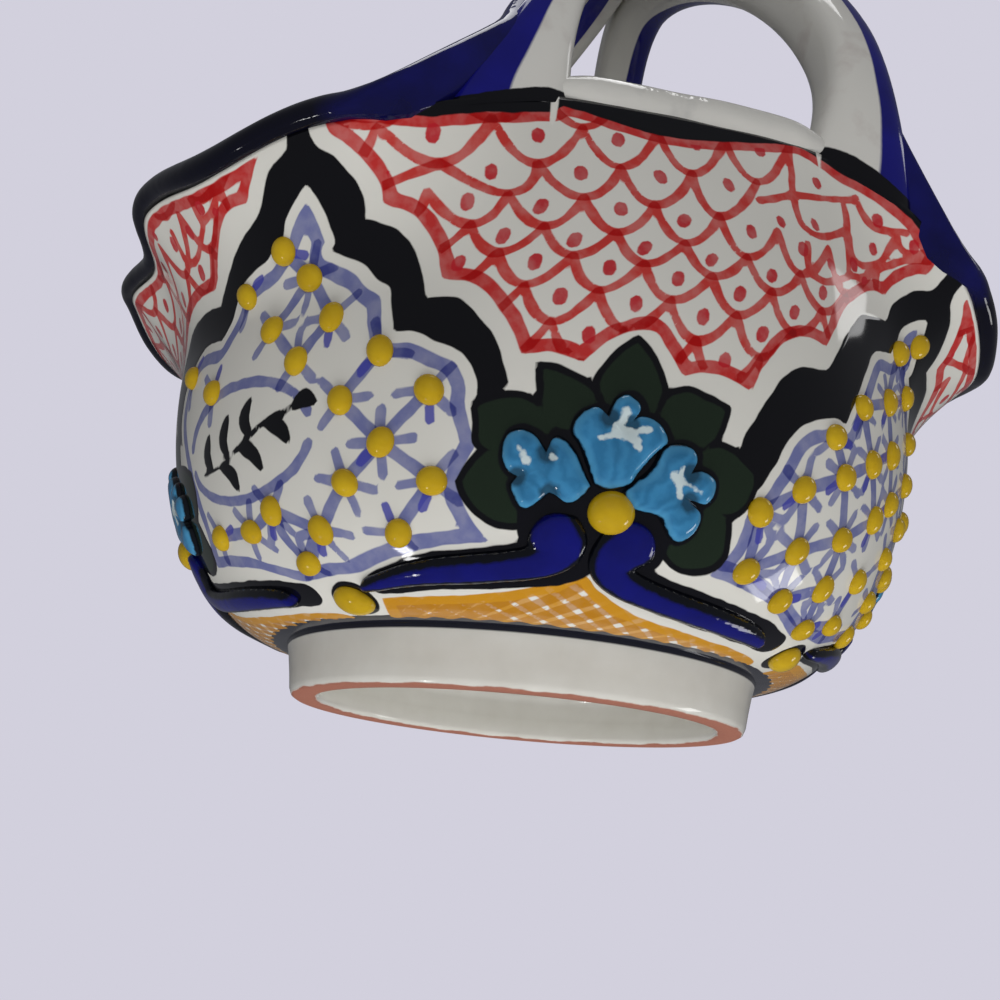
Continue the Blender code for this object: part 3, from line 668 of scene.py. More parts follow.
def glossy(name, roughness):
    """A glazed material, its tree and the object's coordinates."""
    made = bpy.data.materials.new(name)
    made.use_nodes = True
    shader = made.node_tree.nodes["Principled BSDF"]
    shader.inputs["Roughness"].default_value = roughness
    shader.inputs["IOR"].default_value = 1.5
    return made, made.node_tree, add(made.node_tree, "TexCoord", result="Object")


def glaze_over(tree, colour, relief, depth, strength):
    """Give a glaze its colour and soft waves `depth` metres deep, and return the waves."""
    shader = tree.nodes["Principled BSDF"]
    tree.links.new(colour, shader.inputs["Base Color"])
    waves = add(tree, "Bump", {"Height": relief, "Distance": depth, "Strength": strength})
    tree.links.new(waves, shader.inputs["Normal"])
    return waves


# Name of the brushwork, colour, opacity, blend: a thin stain multiplies what it crosses
BRUSHWORK = [("violet", "#8188C6", 1.0, "MULTIPLY"), ("violet_joins", "#8188C6", 1.0, "MULTIPLY"),
             ("violet_dabs", "#878ECA", 0.95, "MULTIPLY"), ("blue_accents", "#3C3E96", 0.9, "MIX"),
             ("red_odd", "#E34642", 1.0, "MULTIPLY"), ("red_even", "#E04440", 1.0, "MULTIPLY"),
             ("red_outline", "#DC3A3A", 1.0, "MULTIPLY"), ("red_dots", "#AE1A24", 0.97, "MIX"),
             ("foot_line", "#1B1C26", 1.0, "MIX"), ("orange_rising", "#B98218", 0.97, "MIX"),
             ("orange_falling", "#A66E0E", 0.88, "MIX"), ("orange_edge", "#B98218", 0.94, "MIX"),
             ("black", "#08080C", 1.0, "MIX"), ("green", "#172217", 1.0, "MIX"),
             # The last entry, pale over the black band, is a painted highlight
             ("black_over", "#08080E", 1.0, "MIX"), ("drips", "#D2CFC8", 1.0, "MIX")]
painted_glaze, tree, place = glossy("painted_tin_glaze", 0.06)
# Brush edges waver over four millimetres; pigment pools over three or four
waver = add(tree, "TexNoise", (place, 230, 1))
pooled = add(tree, "TexNoise", (place, 280, 3))
mottle = add(tree, "TexNoise", (place, 28, 2))
colour = add(tree, "Mix", (mottle, "#D4D2CB", "#C6C4BC"), data_type="RGBA")
shift = add(tree, "Math", (waver, 0.8, -0.4), operation="MULTIPLY_ADD")
thin = add(tree, "MapRange", (pooled, 0.35, 0.6, 0.86, 1.0))
for name, code, opacity, blend in BRUSHWORK:
    apart = add(tree, "Attribute", result="Fac", attribute_name=name)
    wavy = add(tree, "Math", (apart, shift), operation="ADD")
    amount = add(tree, "MapRange", (wavy, 0.12, -0.12, 0, opacity))
    if name.startswith(("violet", "red", "orange")):
        amount = add(tree, "Math", (amount, thin), operation="MULTIPLY")
    if name in ("green", "black_over"):
        proud = add(tree, "Math", (proud, apart), operation="MINIMUM")
    elif name == "black":
        proud = apart
    colour = add(tree, "Mix", (amount, colour, code), data_type="RGBA", blend_type=blend)
# The glaze lies in soft waves, and thick slip stands a tenth of a millimetre proud
waves = glaze_over(tree, colour, add(tree, "TexNoise", (place, 55, 1)), 0.0007, 0.5)
step = add(tree, "MapRange", (proud, 0.5, -0.9), interpolation_type="SMOOTHSTEP")
raised = add(tree, "Bump", {"Height": step, "Distance": 0.00012, "Strength": 0.6,
                            "Normal": waves})
tree.links.new(raised, tree.nodes["Principled BSDF"].inputs["Normal"])
bowl.data.materials.append(painted_glaze)
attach(bowl, "root")
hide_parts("bowl")


# Slip beads of the lattice panels
# Drops of yellow slip trailed on to the wall, domed and a little uneven, each 5 mm across.
yellow, tree, place = glossy("yellow_slip_glaze", 0.08)
cloud = add(tree, "TexNoise", (place, 300, 3))
tone = add(tree, "Mix", (cloud, "#C4A41C", "#A4820E"), data_type="RGBA")
glaze_over(tree, tone, cloud, 0.0002, 0.4)


def girth(azimuth, up):
    """Radius of the wall on one azimuth, at lengths up the wall in metres."""
    return np.hypot(*on_wall(np.full(len(up), float(azimuth)), up, 0.0)[:, :2].T)


def press_on(points, quarter, local, up):
    """Points modelled flat (x sideways, y up, z outwards, in metres) laid on the wall."""
    middle = quarter + local + smooth(LEAN, 1, up)
    height = up / 1000 + points[:, 1]
    turn = np.degrees(points[:, 0] / girth(middle, height))
    return on_wall(middle + turn, height, points[:, 2])


def dome(name, radius, height, segments, rings):
    """A drop of slip lying flat: round, rounded on top, with its root below z = 0."""
    bpy.ops.mesh.primitive_uv_sphere_add(segments=segments, ring_count=rings, radius=1)
    made = bpy.context.object
    made.name = name
    points = coordinates(made)
    points[:, :2] *= radius
    points[:, 2] = np.where(points[:, 2] > 0, points[:, 2] * height, points[:, 2] * 0.0007)
    put(made, points)
    close_up(made)
    return made


drop = dome("slip_drop", BEAD_RADIUS / 1000, BEAD_HEIGHT, 22, 14)
flat_drop = coordinates(drop)
for corner, middle in CORNERS.items():
    copies = []
    for i, (local, up) in enumerate(beads[corner]):
        bead = bpy.data.objects.new("bead", drop.data.copy())
        bpy.context.collection.objects.link(bead)
        wobble = 1 + 0.06 * np.sin(np.arctan2(flat_drop[:, 1], flat_drop[:, 0]) * 2 + i * 1.7)
        shape = flat_drop * np.stack((wobble, wobble, np.full(len(wobble), 0.96)), 1)
        shape[:, 1] *= 1 + 0.05 * sin(i * 2.3)
        put(bead, press_on(shape, middle, local, up))
        copies.append(bead)
    for bead in copies:
        bead.select_set(True)
    bpy.context.view_layer.objects.active = copies[0]
    bpy.ops.object.join()
    group = bpy.context.object
    group.name = "slip_beads_" + corner
    group.data.materials.append(yellow)
    bpy.ops.object.select_all(action="DESELECT")
    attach(group, "root")
bpy.data.objects.remove(drop, do_unlink=True)

# Yellow beads of the flowers and of the scrolls, thumb-rolled and set on the wall
for quarter, middle in QUARTERS.items():
    bead = dome("yellow_flower_bead_" + quarter, FLOWER_BEAD_RADIUS / 1000, 0.0031, 40, 24)
    put(bead, press_on(coordinates(bead) * (0.97, 0.9, 1), middle, -0.4, FLOWER_UP))
    bead.data.materials.append(yellow)
    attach(bead, "root")
    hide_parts("flower_bead_" + quarter)
TILT = radians(-25)
for corner, middle in CORNERS.items():
    bead = dome("yellow_scroll_bead_" + corner, SCROLL_BEAD[2] / 1000, 0.0022, 36, 20)
    points = coordinates(bead) * (1.12, 0.92, 1)
    points = points @ np.array([(cos(TILT), sin(TILT), 0), (-sin(TILT), cos(TILT), 0), (0, 0, 1)])
    put(bead, press_on(points, middle, *SCROLL_BEAD[:2]))
    bead.data.materials.append(yellow)
    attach(bead, "root")
    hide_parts("scroll_bead_" + corner)


# Petals
# Three fat lobed petals modelled in clay, luted round the bead and glazed cerulean, with small
# pale star-shaped spots, darker notches and a thin black line drawn round with the brush.
petal_glaze, tree, place = glossy("cerulean_glaze", 0.07)
edge, fold, bare, streak = [add(tree, "Attribute", result="Fac", attribute_name=name)
                            for name in ("from_edge", "fold", "bare", "streak")]
brushed = add(tree, "TexNoise", (place, 240, 4))
fine = add(tree, "TexNoise", (place, 600, 2))
broad = add(tree, "TexNoise", (place, 150, 2))
# Brush streaks a few millimetres wide run out from the bead
sweep = add(tree, "Math", (brushed, 16.0, streak), operation="MULTIPLY_ADD")
sweep = add(tree, "Math", (sweep,), operation="SINE")
sweep = add(tree, "MapRange", (sweep, -1.0))
sweep = add(tree, "Mix", (0.6, sweep, broad))
tone = add(tree, "Mix", (sweep, "#215C84", "#3A7FAA"), data_type="RGBA")
crest = add(tree, "MapRange", (edge, 1.9, 0.8, 0, 0.4))
shade = add(tree, "Math", (fine, 0.5, fold), operation="MULTIPLY_ADD")
shade = add(tree, "MapRange", (shade, 0.5, 0.85, 0, 0.85))
spot = add(tree, "Math", (fine, 1.8, -1.0), operation="MULTIPLY_ADD")
spot = add(tree, "Math", (bare, spot), operation="ADD")
spot = add(tree, "MapRange", (spot, 0.2, -0.2, 0, 0.92))
line = add(tree, "Math", (fine, 0.7, edge), operation="MULTIPLY_ADD")
line = add(tree, "MapRange", (line, 0.95, 0.68))
# Paler crest, darker notches, white stars and the line round the edge, one over the other
for amount, code in ((crest, "#559DC4"), (shade, "#1B3A4E"), (spot, "#BFCBCB"), (line, "#0A0F16")):
    tone = add(tree, "Mix", (amount, tone, code), data_type="RGBA")
glaze_over(tree, tone, broad, 0.0012, 0.6)

# Rise of a petal over the wall, its root below it, and the width of its folds, in millimetres
PETAL_RISE = 2.4
PETAL_ROOT = 0.6
FOLD_WIDTH = 1.7
# Pale star strokes: start and end in millimetres from the flower's bead, and half width
PETAL_STARS = {
    "left": [
        (-17, 9, -16.2, 8.2, 0.3), (-16.3, 8.2, -15.4, 7.2, 0.55), (-11.8, 8.1, -11.3, 7.8, 0.3)],
    "middle": [
        (-0.9, 16.4, -1.7, 14, 0.55), (-4.4, 12, -1.6, 12.9, 0.25), (-1.9, 13.5, 0.4, 13.2, 1.0),
        (0.4, 13.4, 3.2, 14.1, 0.3), (0.4, 12.9, 1.8, 11, 0.35), (0.5, 13, 1.2, 12.2, 0.6)],
    "right": [
        (9.9, 9.3, 9, 7.6, 0.3), (9, 7.5, 9.8, 4.8, 0.3), (8.2, 7.8, 9.4, 7, 0.7),
        (9.6, 7, 13.4, 6.1, 0.22)]}


def laid_flat(points):
    """Points in millimetres round the bead in the form that from_strokes takes."""
    return points[:, 0], points[:, 1], np.full(len(points), degrees(1))


for quarter, middle in QUARTERS.items():
    for side, lobes in PETALS.items():
        rim = bend(lobes, 5)
        centre = rim.mean(axis=0)
        turns = np.arctan2(*(rim - centre).T[::-1])
        reach = 0.35 + np.hypot(*(rim - centre).T)
        bpy.ops.mesh.primitive_uv_sphere_add(segments=160, ring_count=56, radius=1)
        petal = bpy.context.object
        petal.name = "cerulean_petal_" + quarter + "_" + side
        ball = coordinates(petal)
        turn = np.arctan2(ball[:, 1], ball[:, 0])
        share = np.hypot(ball[:, 0], ball[:, 1])
        order = np.argsort(turns)
        limit = np.interp(turn, turns[order], reach[order], period=2 * pi)
        flat = centre + (ball[:, :2] / np.maximum(share, 1e-9)[:, None]) * (limit * share)[:, None]
        # The petal sinks in the folds that run in from its notches, and a little in its middle
        fold = np.zeros(len(turn))
        for lobe in lobes[:-1]:
            apart = np.hypot(*(flat - lobe[-1]).T)
            fold = np.maximum(fold, np.exp(-(apart / FOLD_WIDTH) ** 2))
        swell = np.clip(1 - share ** 3.6, 0, 1) ** 0.55 * (1 - 0.45 * fold)
        swell *= 1 - 0.22 * np.exp(-(share / 0.5) ** 2)
        above = ball[:, 2] > 0
        lift = np.where(above, PETAL_RISE * swell, -PETAL_ROOT)
        put(petal, press_on(np.column_stack((flat, lift)) / 1000, middle, 0, FLOWER_UP))
        store(petal, "from_edge", np.where(above, limit * (1 - share), 0))
        store(petal, "fold", fold)
        # Pale star-shaped spots along these strokes
        store(petal, "bare", from_strokes(laid_flat(flat), np.array(PETAL_STARS[side])))
        store(petal, "streak", 7 * np.arctan2(flat[:, 0], flat[:, 1]) * np.sqrt(np.hypot(*flat.T)))
        close_up(petal)
        petal.data.materials.append(petal_glaze)
        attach(petal, "root")
        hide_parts("petal_" + quarter + "_" + side)


# Scrolls
# Thick cobalt slip trailed in a comma that starts in a blob under the flower and thins out
# towards the yellow bead, glossy and edged broadly in black with the brush.
scroll_glaze, tree, place = glossy("cobalt_slip_glaze", 0.06)
edge = add(tree, "Attribute", result="Fac", attribute_name="from_edge")
fine = add(tree, "TexNoise", (place, 500, 3))
cloud = add(tree, "TexNoise", (place, 120, 3))
tone = add(tree, "Mix", (cloud, "#0D1070", "#090B48"), data_type="RGBA")
line = add(tree, "Math", (fine, 0.8, edge), operation="MULTIPLY_ADD")
line = add(tree, "MapRange", (line, 2.0, 1.45))
tone = add(tree, "Mix", (line, tone, "#06080F"), data_type="RGBA")
glaze_over(tree, tone, cloud, 0.0004, 0.4)

# Rise of the slip over the wall, its root below it, and the grain of its skin, in millimetres
SCROLL_RISE = 1.9
SCROLL_ROOT = 0.8
VOXEL = 0.32


def tube(name, corners, stations):
    """A closed tube extruded in steps of one, its points, and the station of each point."""
    bpy.ops.mesh.primitive_circle_add(vertices=corners, radius=1, fill_type="NGON")
    made = bpy.context.object
    made.name = name
    bpy.ops.object.mode_set(mode="EDIT")
    for i in range(stations - 1):
        bpy.ops.mesh.extrude_region_move(TRANSFORM_OT_translate={"value": (0, 0, 1)})
    bpy.ops.object.mode_set(mode="OBJECT")
    points = coordinates(made)
    return made, points, np.rint(points[:, 2]).astype(int)


for quarter, middle in QUARTERS.items():
    for name, (side, stations) in SCROLLS.items():
        line = centre_line(side, stations, 6)
        radius = 1000 * girth(middle, line[:, 1] / 1000)
        flat = np.stack((np.radians(line[:, 0]) * radius, line[:, 1] - FLOWER_UP), 1)
        run = np.gradient(flat, axis=0)
        run /= np.hypot(*run.T)[:, None]
        length = np.concatenate(([0], np.cumsum(np.hypot(*np.diff(flat, axis=0).T))))
        start = np.clip(length / line[0, 2], 0, 1)
        stop = np.clip((length[-1] - length) / line[-1, 2], 0, 1)
        ends = np.maximum(np.sqrt(start * (2 - start)) * np.sqrt(stop * (2 - stop)), 0.05)
        piece, ring, station = tube("cobalt_scroll_" + quarter + "_" + name, 24, len(line))
        half = line[station, 2] * ends[station]
        full = SCROLL_RISE * np.minimum(half / 2, 1) ** 0.6
        rise = np.where(ring[:, 1] > 0, ring[:, 1] ** 0.8 * full, ring[:, 1] * SCROLL_ROOT)
        x = flat[station, 0] - run[station, 1] * ring[:, 0] * half
        y = flat[station, 1] + run[station, 0] * ring[:, 0] * half
        put(piece, np.column_stack((x, y, rise)))
        close_up(piece)
        skin = piece.modifiers.new("one_skin", "REMESH")
        skin.mode = "VOXEL"
        skin.voxel_size = VOXEL
        soft = piece.modifiers.new("soft", "SMOOTH")
        soft.iterations = 6
        bpy.ops.object.modifier_apply(modifier="one_skin")
        bpy.ops.object.modifier_apply(modifier="soft")
        shape = coordinates(piece)
        put(piece, press_on(shape / 1000, middle, 0, FLOWER_UP))
        strokes = stretches(flat, line[:-1, 2])
        store(piece, "from_edge", -from_strokes(laid_flat(shape), strokes))
        bpy.ops.object.shade_smooth()
        piece.select_set(False)
        piece.data.materials.append(scroll_glaze)
        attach(piece, "root")
        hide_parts("scroll_" + quarter + "_" + name)


# Foot ring
# Turned ring of red clay, glazed white but wiped bare where it stands in the kiln, so that a
# terracotta ring shows under an uneven edge of glaze.
SECTION = [(0.0506, 0.0118), (0.0500, 0.0104), (0.0494, 0.0080), (0.0488, 0.0045),
           (0.0484, 0.0016), (0.0479, 0.0004), (0.0472, 0.0), (0.0432, 0.0), (0.0425, 0.0004),
           (0.0420, 0.0014), (0.0422, 0.0050), (0.0426, 0.0085), (0.0420, 0.0104),
           (0.0405, 0.0112)]
bpy.ops.mesh.primitive_circle_add(vertices=len(SECTION), radius=1)
foot = bpy.context.object
foot.name = "turned_foot"
put(foot, [(0, -r, z) for r, z in SECTION])
bpy.ops.object.mode_set(mode="EDIT")
bpy.ops.mesh.select_all(action="SELECT")
bpy.ops.mesh.spin(steps=240, angle=2 * pi, center=(0, 0, 0), axis=(0, 0, 1))
bpy.ops.object.mode_set(mode="OBJECT")
close_up(foot)
foot_glaze, tree, place = glossy("white_glaze_over_terracotta", 0.08)
height = add(tree, "SeparateXYZ", (place,), result="Z")
patchy = add(tree, "TexNoise", (place, 180, 4))
grain = add(tree, "TexNoise", (place, 1500, 3))
edge = add(tree, "Math", (patchy, 0.0008, -0.0001), operation="MULTIPLY_ADD")
bare = add(tree, "Math", (height, edge), operation="SUBTRACT")
bare = add(tree, "MapRange", (bare, 0.0001, -0.0001))
clay = add(tree, "Mix", (grain, "#A06A56", "#875143"), data_type="RGBA")
white = add(tree, "Mix", (patchy, "#D4D2CB", "#C6C3BA"), data_type="RGBA")
# The dark line round the bowl's foot runs over the ring's upper outer edge
lined = add(tree, "MapRange", (height, 0.0098, 0.0101))
level = add(tree, "VectorMath", (place, (1, 1, 0)), operation="MULTIPLY")
level = add(tree, "VectorMath", (level,), operation="LENGTH")
outside = add(tree, "Math", (level, 0.047), operation="GREATER_THAN")
lined = add(tree, "Math", (lined, outside), operation="MULTIPLY")
white = add(tree, "Mix", (lined, white, "#1B1C26"), data_type="RGBA")
tone = add(tree, "Mix", (bare, white, clay), data_type="RGBA")
glaze_over(tree, tone, add(tree, "TexNoise", (place, 60, 2)), 0.0006, 0.5)
rough = add(tree, "MapRange", (bare, 0, 1, 0.08, 0.8))
tree.links.new(rough, tree.nodes["Principled BSDF"].inputs["Roughness"])
foot.data.materials.append(foot_glaze)
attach(foot, "root")
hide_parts("foot_ring")


# Handle strands
# Two thick pulled strips arch from the front edge to the back and meet over the middle, a little
# to the right. They are glazed white, and cobalt runs up their outer edges from the rim.
STRAND_FROM = 20
STRAND_TO = 34
STRAND_BASE = 0.0065
# How deep the bar's foot is sunk in the edge, and half the gap between the bars at the crown
STRAND_SUNK = 0.0012
STRAND_GAP = 0.0001
# Width and thickness of the bar, left (-1) and right (1)
STRAND_BAR = {-1: (0.0085, 0.0110), 1: (0.0130, 0.0135)}
CROWN_HEIGHT = 0.190
HANDLE_LEAN = 0.012
ARCH_POWER = 1.8
CLOSING_POWER = 1.85
STRAND_FLARE = 0.38
HALF_STATIONS = 56
STRAND_CORNERS = 40
ROUNDNESS = 0.62


def edge_middle(azimuth):
    """Middle of the wall's edge, with the directions up the wall and out of it."""
    azimuth = np.atleast_1d(np.asarray(azimuth, dtype=float))
    two = np.full(len(azimuth), 2.0)
    radius, height = section(azimuth, two)
    out = outward(azimuth, two)
    middle = turned_out(azimuth, radius - out[0] * WALL / 2, height - out[1] * WALL / 2)
    return middle, turned_out(azimuth, -out[1], out[0]), turned_out(azimuth, *out)


def strand_path(turn, base, width):
    """Middle of a strand's front half: turn is 0 on the edge and a quarter turn at the crown."""
    aside = width / 2 + STRAND_GAP
    top = aside if base.x > 0 else -aside
    forward = base.y * cos(turn) ** (2 / ARCH_POWER)
    climb = sin(turn) ** (2 / ARCH_POWER)
    aside = top + (base.x - top) * (1 - climb ** CLOSING_POWER)
    lean = HANDLE_LEAN * sin(climb * pi / 2) ** 1.2
    return Vector((aside + lean, forward, base.z + (CROWN_HEIGHT - base.z) * climb))


def strand_rings(side):
    """Points round a strand at each station of its front half, and its outer edge there."""
    width, thickness = STRAND_BAR[side]
    middle = side * (STRAND_FROM + STRAND_TO) / 2
    half = (STRAND_TO - STRAND_FROM) / 2
    turns = np.linspace(0, 2 * pi, STRAND_CORNERS, endpoint=False)
    corners = [[np.sign(v) * abs(v) ** ROUNDNESS for v in (cos(t), sin(t))] for t in turns]
    centre, up, out = [Vector(v[0]) for v in edge_middle([middle])]
    base = centre + up * 0.0004
    feet = []
    for a, b in corners:
        place, up, out = [Vector(v[0]) for v in edge_middle([middle + side * a * half])]
        feet.append(place - up * STRAND_SUNK + out * b * STRAND_BASE / 2 - base)
    rings, edges = [], []
    for i in range(HALF_STATIONS):
        turn = pi / 2 * (i / (HALF_STATIONS - 1)) ** 1.25
        here = strand_path(turn, base, width)
        ahead = strand_path(min(turn + 0.01, pi / 2), base, width)
        behind = strand_path(max(turn - 0.01, 0), base, width)
        along = (ahead - behind).normalized()
        if i == HALF_STATIONS - 1:
            along = Vector((0, 1, 0))
        out = Vector((0, -here.y / base.y, sin(turn)))
        out = (out - along * out.dot(along)).normalized()
        across = along.cross(out)
        share = min(i / (HALF_STATIONS - 1) / STRAND_FLARE, 1)
        share = share * share * (3 - 2 * share)
        ring = []
        for (a, b), foot in zip(corners, feet):
            bar = across * side * a * width / 2 + out * b * thickness / 2
            ring.append(here + foot.lerp(bar, share))
        rings.append(ring)
        edges.append((ring[0], out, (ring[0] - ring[STRAND_CORNERS // 2]).normalized()))
    return rings, corners, edges


strand_glaze, tree, place = glossy("white_tin_glaze_with_cobalt_edge", 0.08)
across, root = [add(tree, "Attribute", result="Fac", attribute_name=name)
                for name in ("across", "from_root")]
cloud = add(tree, "TexNoise", (place, 110, 4))
low = add(tree, "TexNoise", (place, 45, 1))
# Thin glaze over the clay shows as faint warm smudges a few millimetres long
stain = add(tree, "MapRange", (cloud, 0.58, 0.80, 0, 0.5))
tone = add(tree, "Mix", (stain, "#C9C7C1", "#9C8B87"), data_type="RGBA")
line = add(tree, "Math", (low, 0.30, across), operation="MULTIPLY_ADD")
line = add(tree, "MapRange", (line, 0.50, 0.56))
deep = add(tree, "Mix", (cloud, "#0C0C50", "#14147C"), data_type="RGBA")
tone = add(tree, "Mix", (line, tone, deep), data_type="RGBA")
# The black band of the wall is painted over the foot of each leg
root = add(tree, "Math", (cloud, 2.0, root), operation="MULTIPLY_ADD")
root = add(tree, "MapRange", (root, 4.7, 4.4))
tone = add(tree, "Mix", (root, tone, "#08080C"), data_type="RGBA")
glaze_over(tree, tone, low, 0.0014, 0.5)
strand_edges = {}
for name, side in (("left", -1), ("right", 1)):
    rings, corners, strand_edges[side] = strand_rings(side)
    rings += [[Vector((p.x, -p.y, p.z)) for p in ring] for ring in rings[-2::-1]]
    made, points, station = tube("handle_strip_" + name, STRAND_CORNERS, len(rings))
    turn = np.arctan2(points[:, 1], points[:, 0]) / (2 * pi)
    corner = np.rint(turn * STRAND_CORNERS).astype(int) % STRAND_CORNERS
    every = np.array([[tuple(p) for p in ring] for ring in rings])
    put(made, every[station, corner])
    # How far the cobalt reaches in from the edge, and how high the black band stands
    reach, band = (0.32, 1.0) if side < 0 else (0.25, 0.0)
    store(made, "across", np.array(corners)[corner, 0] + reach)
    half_station = np.minimum(station, len(rings) - 1 - station)
    from_root = 1000 * np.linalg.norm(every[half_station, corner] - every[0, corner], axis=1)
    store(made, "from_root", from_root + band)
    close_up(made)
    made.data.materials.append(strand_glaze)
    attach(made, "root")
    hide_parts("handle_strand_" + name)


# Coils on the edge
# Hand-rolled coils pressed on to the edge: thick and blue-black on the flared sides, where they
# run up the outer edges of the legs in cobalt blue, and white on the sills of the two windows.

# Width, height and how far each coil hangs over the edge
RIM_COIL = (0.0088, 0.0052, 0.0006)
SILL_COIL = (0.0078, 0.0070, 0.0014)
# The rim coil's tail: station up the leg, half width, rise over the leg and drop; share of rise
TAIL = [(11, 0.0042, 0.0023, 0.0045), (14, 0.0038, 0.0020, 0.0030), (17, 0.0034, 0.0016, 0.0020),
        (21, 0.0029, 0.0011, 0.0016), (26, 0.0022, 0.0006, 0.0016), (32, 0.0010, 0.0001, 0.0016)]
TAIL_FULL = {-1: 1.0, 1: 0.3}


def coil(name, keys):
    """A coil through keys of middle, outward and upward directions, half width, rise and drop."""
    line = bend([keys], 4)
    made, points, station = tube(name, 28, len(line))
    at = line[station]
    middle, out, up = at[:, :3], at[:, 3:6], at[:, 6:9]
    turn = np.arctan2(middle[:, 0], -middle[:, 1])
    uneven = 1 + 0.05 * np.sin(7 * turn + 1) + 0.035 * np.sin(17 * turn) + 0.02 * np.sin(31 * turn)
    above = points[:, 1] * np.where(points[:, 1] > 0, at[:, 10], at[:, 11])
    put(made, middle + out * (points[:, 0] * at[:, 9] * uneven)[:, None] + up * above[:, None])
    store(made, "along", np.minimum(station, len(line) - 1 - station))
    close_up(made)
    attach(made, "root")
    return made


def on_edge(azimuths, width, height, hang):
    """Keys of a coil that sits on the edge and hangs a little over it."""
    middle, up, out = edge_middle(azimuths)
    level = middle + up * height * 0.4
    sizes = np.tile((width / 2, height * 0.6, hang + height * 0.4), (len(middle), 1))
    return np.hstack((level, out, up, sizes))


def up_the_leg(side, mirror):
    """Keys of the coil's tail: round the corner under a leg, then up the leg's outer edge."""
    middle, up, out = [Vector(v[0]) for v in edge_middle([side * (STRAND_TO + 3)])]
    aside = strand_edges[side][8][2]
    outside = (out + strand_edges[side][8][1]).normalized()
    slanted = (up + aside).normalized()
    full = TAIL_FULL[side]
    corner = middle + up * (0.0008 + 0.0018 * full) + slanted * 0.0016 * full
    rows = [(corner, outside, slanted, 0.0044, 0.0020 + 0.0006 * full, 0.0075)]
    for station, half, rise, drop in TAIL:
        place, out, aside = strand_edges[side][station]
        rows.append((place - aside * 0.0018, out, aside, half, full * rise + 0.0018, drop))
    return [[c for v in row[:3] for c in (v.x, v.y * mirror, v.z)] + list(row[3:]) for row in rows]


rim_glaze, tree, place = glossy("blue_black_cobalt_glaze", 0.07)
along = add(tree, "Attribute", result="Fac", attribute_name="along")
cloud = add(tree, "TexNoise", (place, 60, 4))
# Cobalt lies thinner and bluer on the legs, thick and nearly black round the sides
thick = add(tree, "MapRange", (along, 18, 34, 1.2, 0.2))
blue = add(tree, "Math", (cloud, thick), operation="MULTIPLY")
blue = add(tree, "MapRange", (blue, 0.16, 0.55))
tone = add(tree, "Mix", (blue, "#040412", "#0D0E56"), data_type="RGBA")
glaze_over(tree, tone, cloud, 0.0012, 0.5)
for name, side in (("right", 1), ("left", -1)):
    around = side * np.linspace(STRAND_TO + 9, 180 - STRAND_TO - 9, 32)
    keys = on_edge(around, *RIM_COIL)
    # The coil is rolled thinner round the two pinched ends
    keys[:, 9:] *= (1 - 0.25 * np.exp(-((abs(around) - 90) / 28) ** 4))[:, None]
    keys = up_the_leg(side, 1)[::-1] + keys.tolist()
    made = coil("cobalt_rim_" + name, keys + up_the_leg(side, -1))
    made.data.materials.append(rim_glaze)
    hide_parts("rim_coil_" + name)

sill_glaze, tree, place = glossy("white_tin_glaze", 0.08)
cloud = add(tree, "TexNoise", (place, 90, 4))
smudge = add(tree, "MapRange", (cloud, 0.58, 0.76, 0, 0.7))
tone = add(tree, "Mix", (smudge, "#C9C7C1", "#858486"), data_type="RGBA")
glaze_over(tree, tone, cloud, 0.0014, 0.6)
for name, middle in (("front", 0), ("back", 180)):
    around = np.arange(-STRAND_FROM - 1.5, STRAND_FROM + 2, 2.15)
    keys = on_edge(middle + around, *SILL_COIL)
    # The ends are pinched so that they sink into the legs
    keys[:, 9:] *= (1 - 0.3 * np.clip((abs(around) - 16) / 5.5, 0, 1) ** 1.5)[:, None]
    made = coil("white_sill_" + name, keys.tolist())
    made.data.materials.append(sill_glaze)
    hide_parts("sill_coil_" + name)


# Floor
# A plain pale floor under the foot. The photograph looks up at the bowl from below the foot,
# so the floor shows from above only, and keeps the bowl's shadow there.
bpy.ops.mesh.primitive_plane_add(size=6, location=(0, 0, -0.0001))
ground = bpy.context.object
ground.name = "floor"
made = bpy.data.materials.new("pale_floor")
made.use_nodes = True
tree = made.node_tree
tree.nodes.remove(tree.nodes["Principled BSDF"])
# It fades into the plain background between a third of a metre and a metre from the bowl
place = add(tree, "TexCoord", result="Object")
away = add(tree, "VectorMath", (place,), operation="LENGTH")
near_by = add(tree, "MapRange", (away, 1.0, 0.3), interpolation_type="SMOOTHSTEP")
seen = add(tree, "Math", (add(tree, "LightPath", result="Is Camera Ray"),
                          add(tree, "NewGeometry", result="Backfacing")),
           operation="SUBTRACT", use_clamp=True)
seen = add(tree, "Math", (seen, near_by), operation="MULTIPLY")
matt = add(tree, "BsdfDiffuse", ("#D6D4E0",))
mixed = add(tree, "MixShader", (seen, add(tree, "BsdfTransparent"), matt))
tree.links.new(mixed, tree.nodes["Material Output"].inputs["Surface"])
ground.data.materials.append(made)
ground.select_set(False)


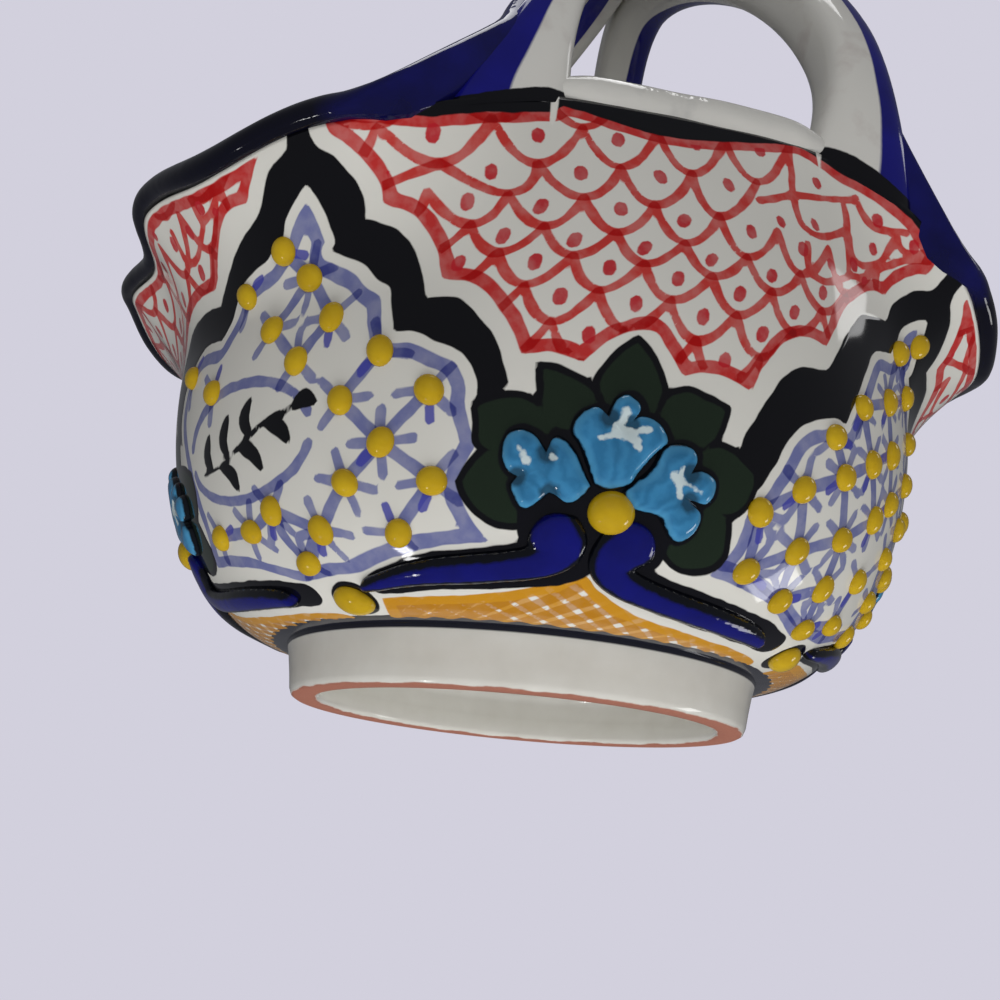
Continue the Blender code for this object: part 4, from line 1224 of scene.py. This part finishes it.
# Light and camera
# Soft studio light: broad soft boxes in front, above and behind, pale light thrown up from a
# white table, and two windows on the right. The camera stands where the photograph was taken:
# low, a little left of the front, looking up at the bowl.
world = bpy.data.worlds.new("studio")
bpy.context.scene.world = world
world.use_nodes = True
tree = world.node_tree
seen = add(tree, "Math", [add(tree, "LightPath", result=ray)
                          for ray in ("Is Camera Ray", "Is Transmission Ray")],
           operation="MAXIMUM")
around = tree.nodes["Background"]
around.inputs["Color"].default_value = linear("#E6E8F0")
around.inputs["Strength"].default_value = 0.15
behind = add(tree, "Background", ("#D2D0DD", 1.0))
mixed = add(tree, "MixShader", (seen, around.outputs[0], behind))
tree.links.new(mixed, tree.nodes["World Output"].inputs["Surface"])


def soft_box(name, place, size, power, mirrored=True):
    """A lamp that faces the bowl; without its mirror image it only fills."""
    lamp = bpy.data.lights.new(name, "AREA")
    lamp.shape = "RECTANGLE"
    lamp.size, lamp.size_y = size
    lamp.energy = power
    made = bpy.data.objects.new(name, lamp)
    bpy.context.collection.objects.link(made)
    made.location = place
    aim = Vector((0, 0, 0.07)) - Vector(place)
    made.rotation_euler = aim.to_track_quat("-Z", "Y").to_euler()
    made.visible_glossy = mirrored


soft_box("front", (-0.35, -1.25, 0.15), (1.2, 0.9), 7.8, mirrored=False)
soft_box("table", (0.0, -0.15, -0.9), (1.3, 1.3), 12.5, mirrored=False)
soft_box("above", (0.0, 0.1, 1.4), (0.8, 0.8), 6.0)
soft_box("back", (0.3, 1.2, 0.5), (0.7, 0.5), 4.0, mirrored=False)
soft_box("window_high", (0.80, -0.16, 0.58), (0.20, 0.20), 0.3)
soft_box("window_low", (0.85, -0.17, -0.48), (0.20, 0.28), 0.9)
soft_box("lamp_low", (-0.54, -0.07, -0.76), (0.07, 0.07), 0.3)

lens = bpy.data.cameras.new("camera")
lens.sensor_width = 36
lens.lens = 43.2
lens.clip_start = 0.01
camera = bpy.data.objects.new("camera", lens)
bpy.context.collection.objects.link(camera)
camera.location = (-0.0889, -0.2443, -0.0277)
camera.rotation_euler = (radians(106.43), radians(-5.20), radians(-19.83))
bpy.context.scene.camera = camera

bpy.context.scene.view_settings.view_transform = "Standard"
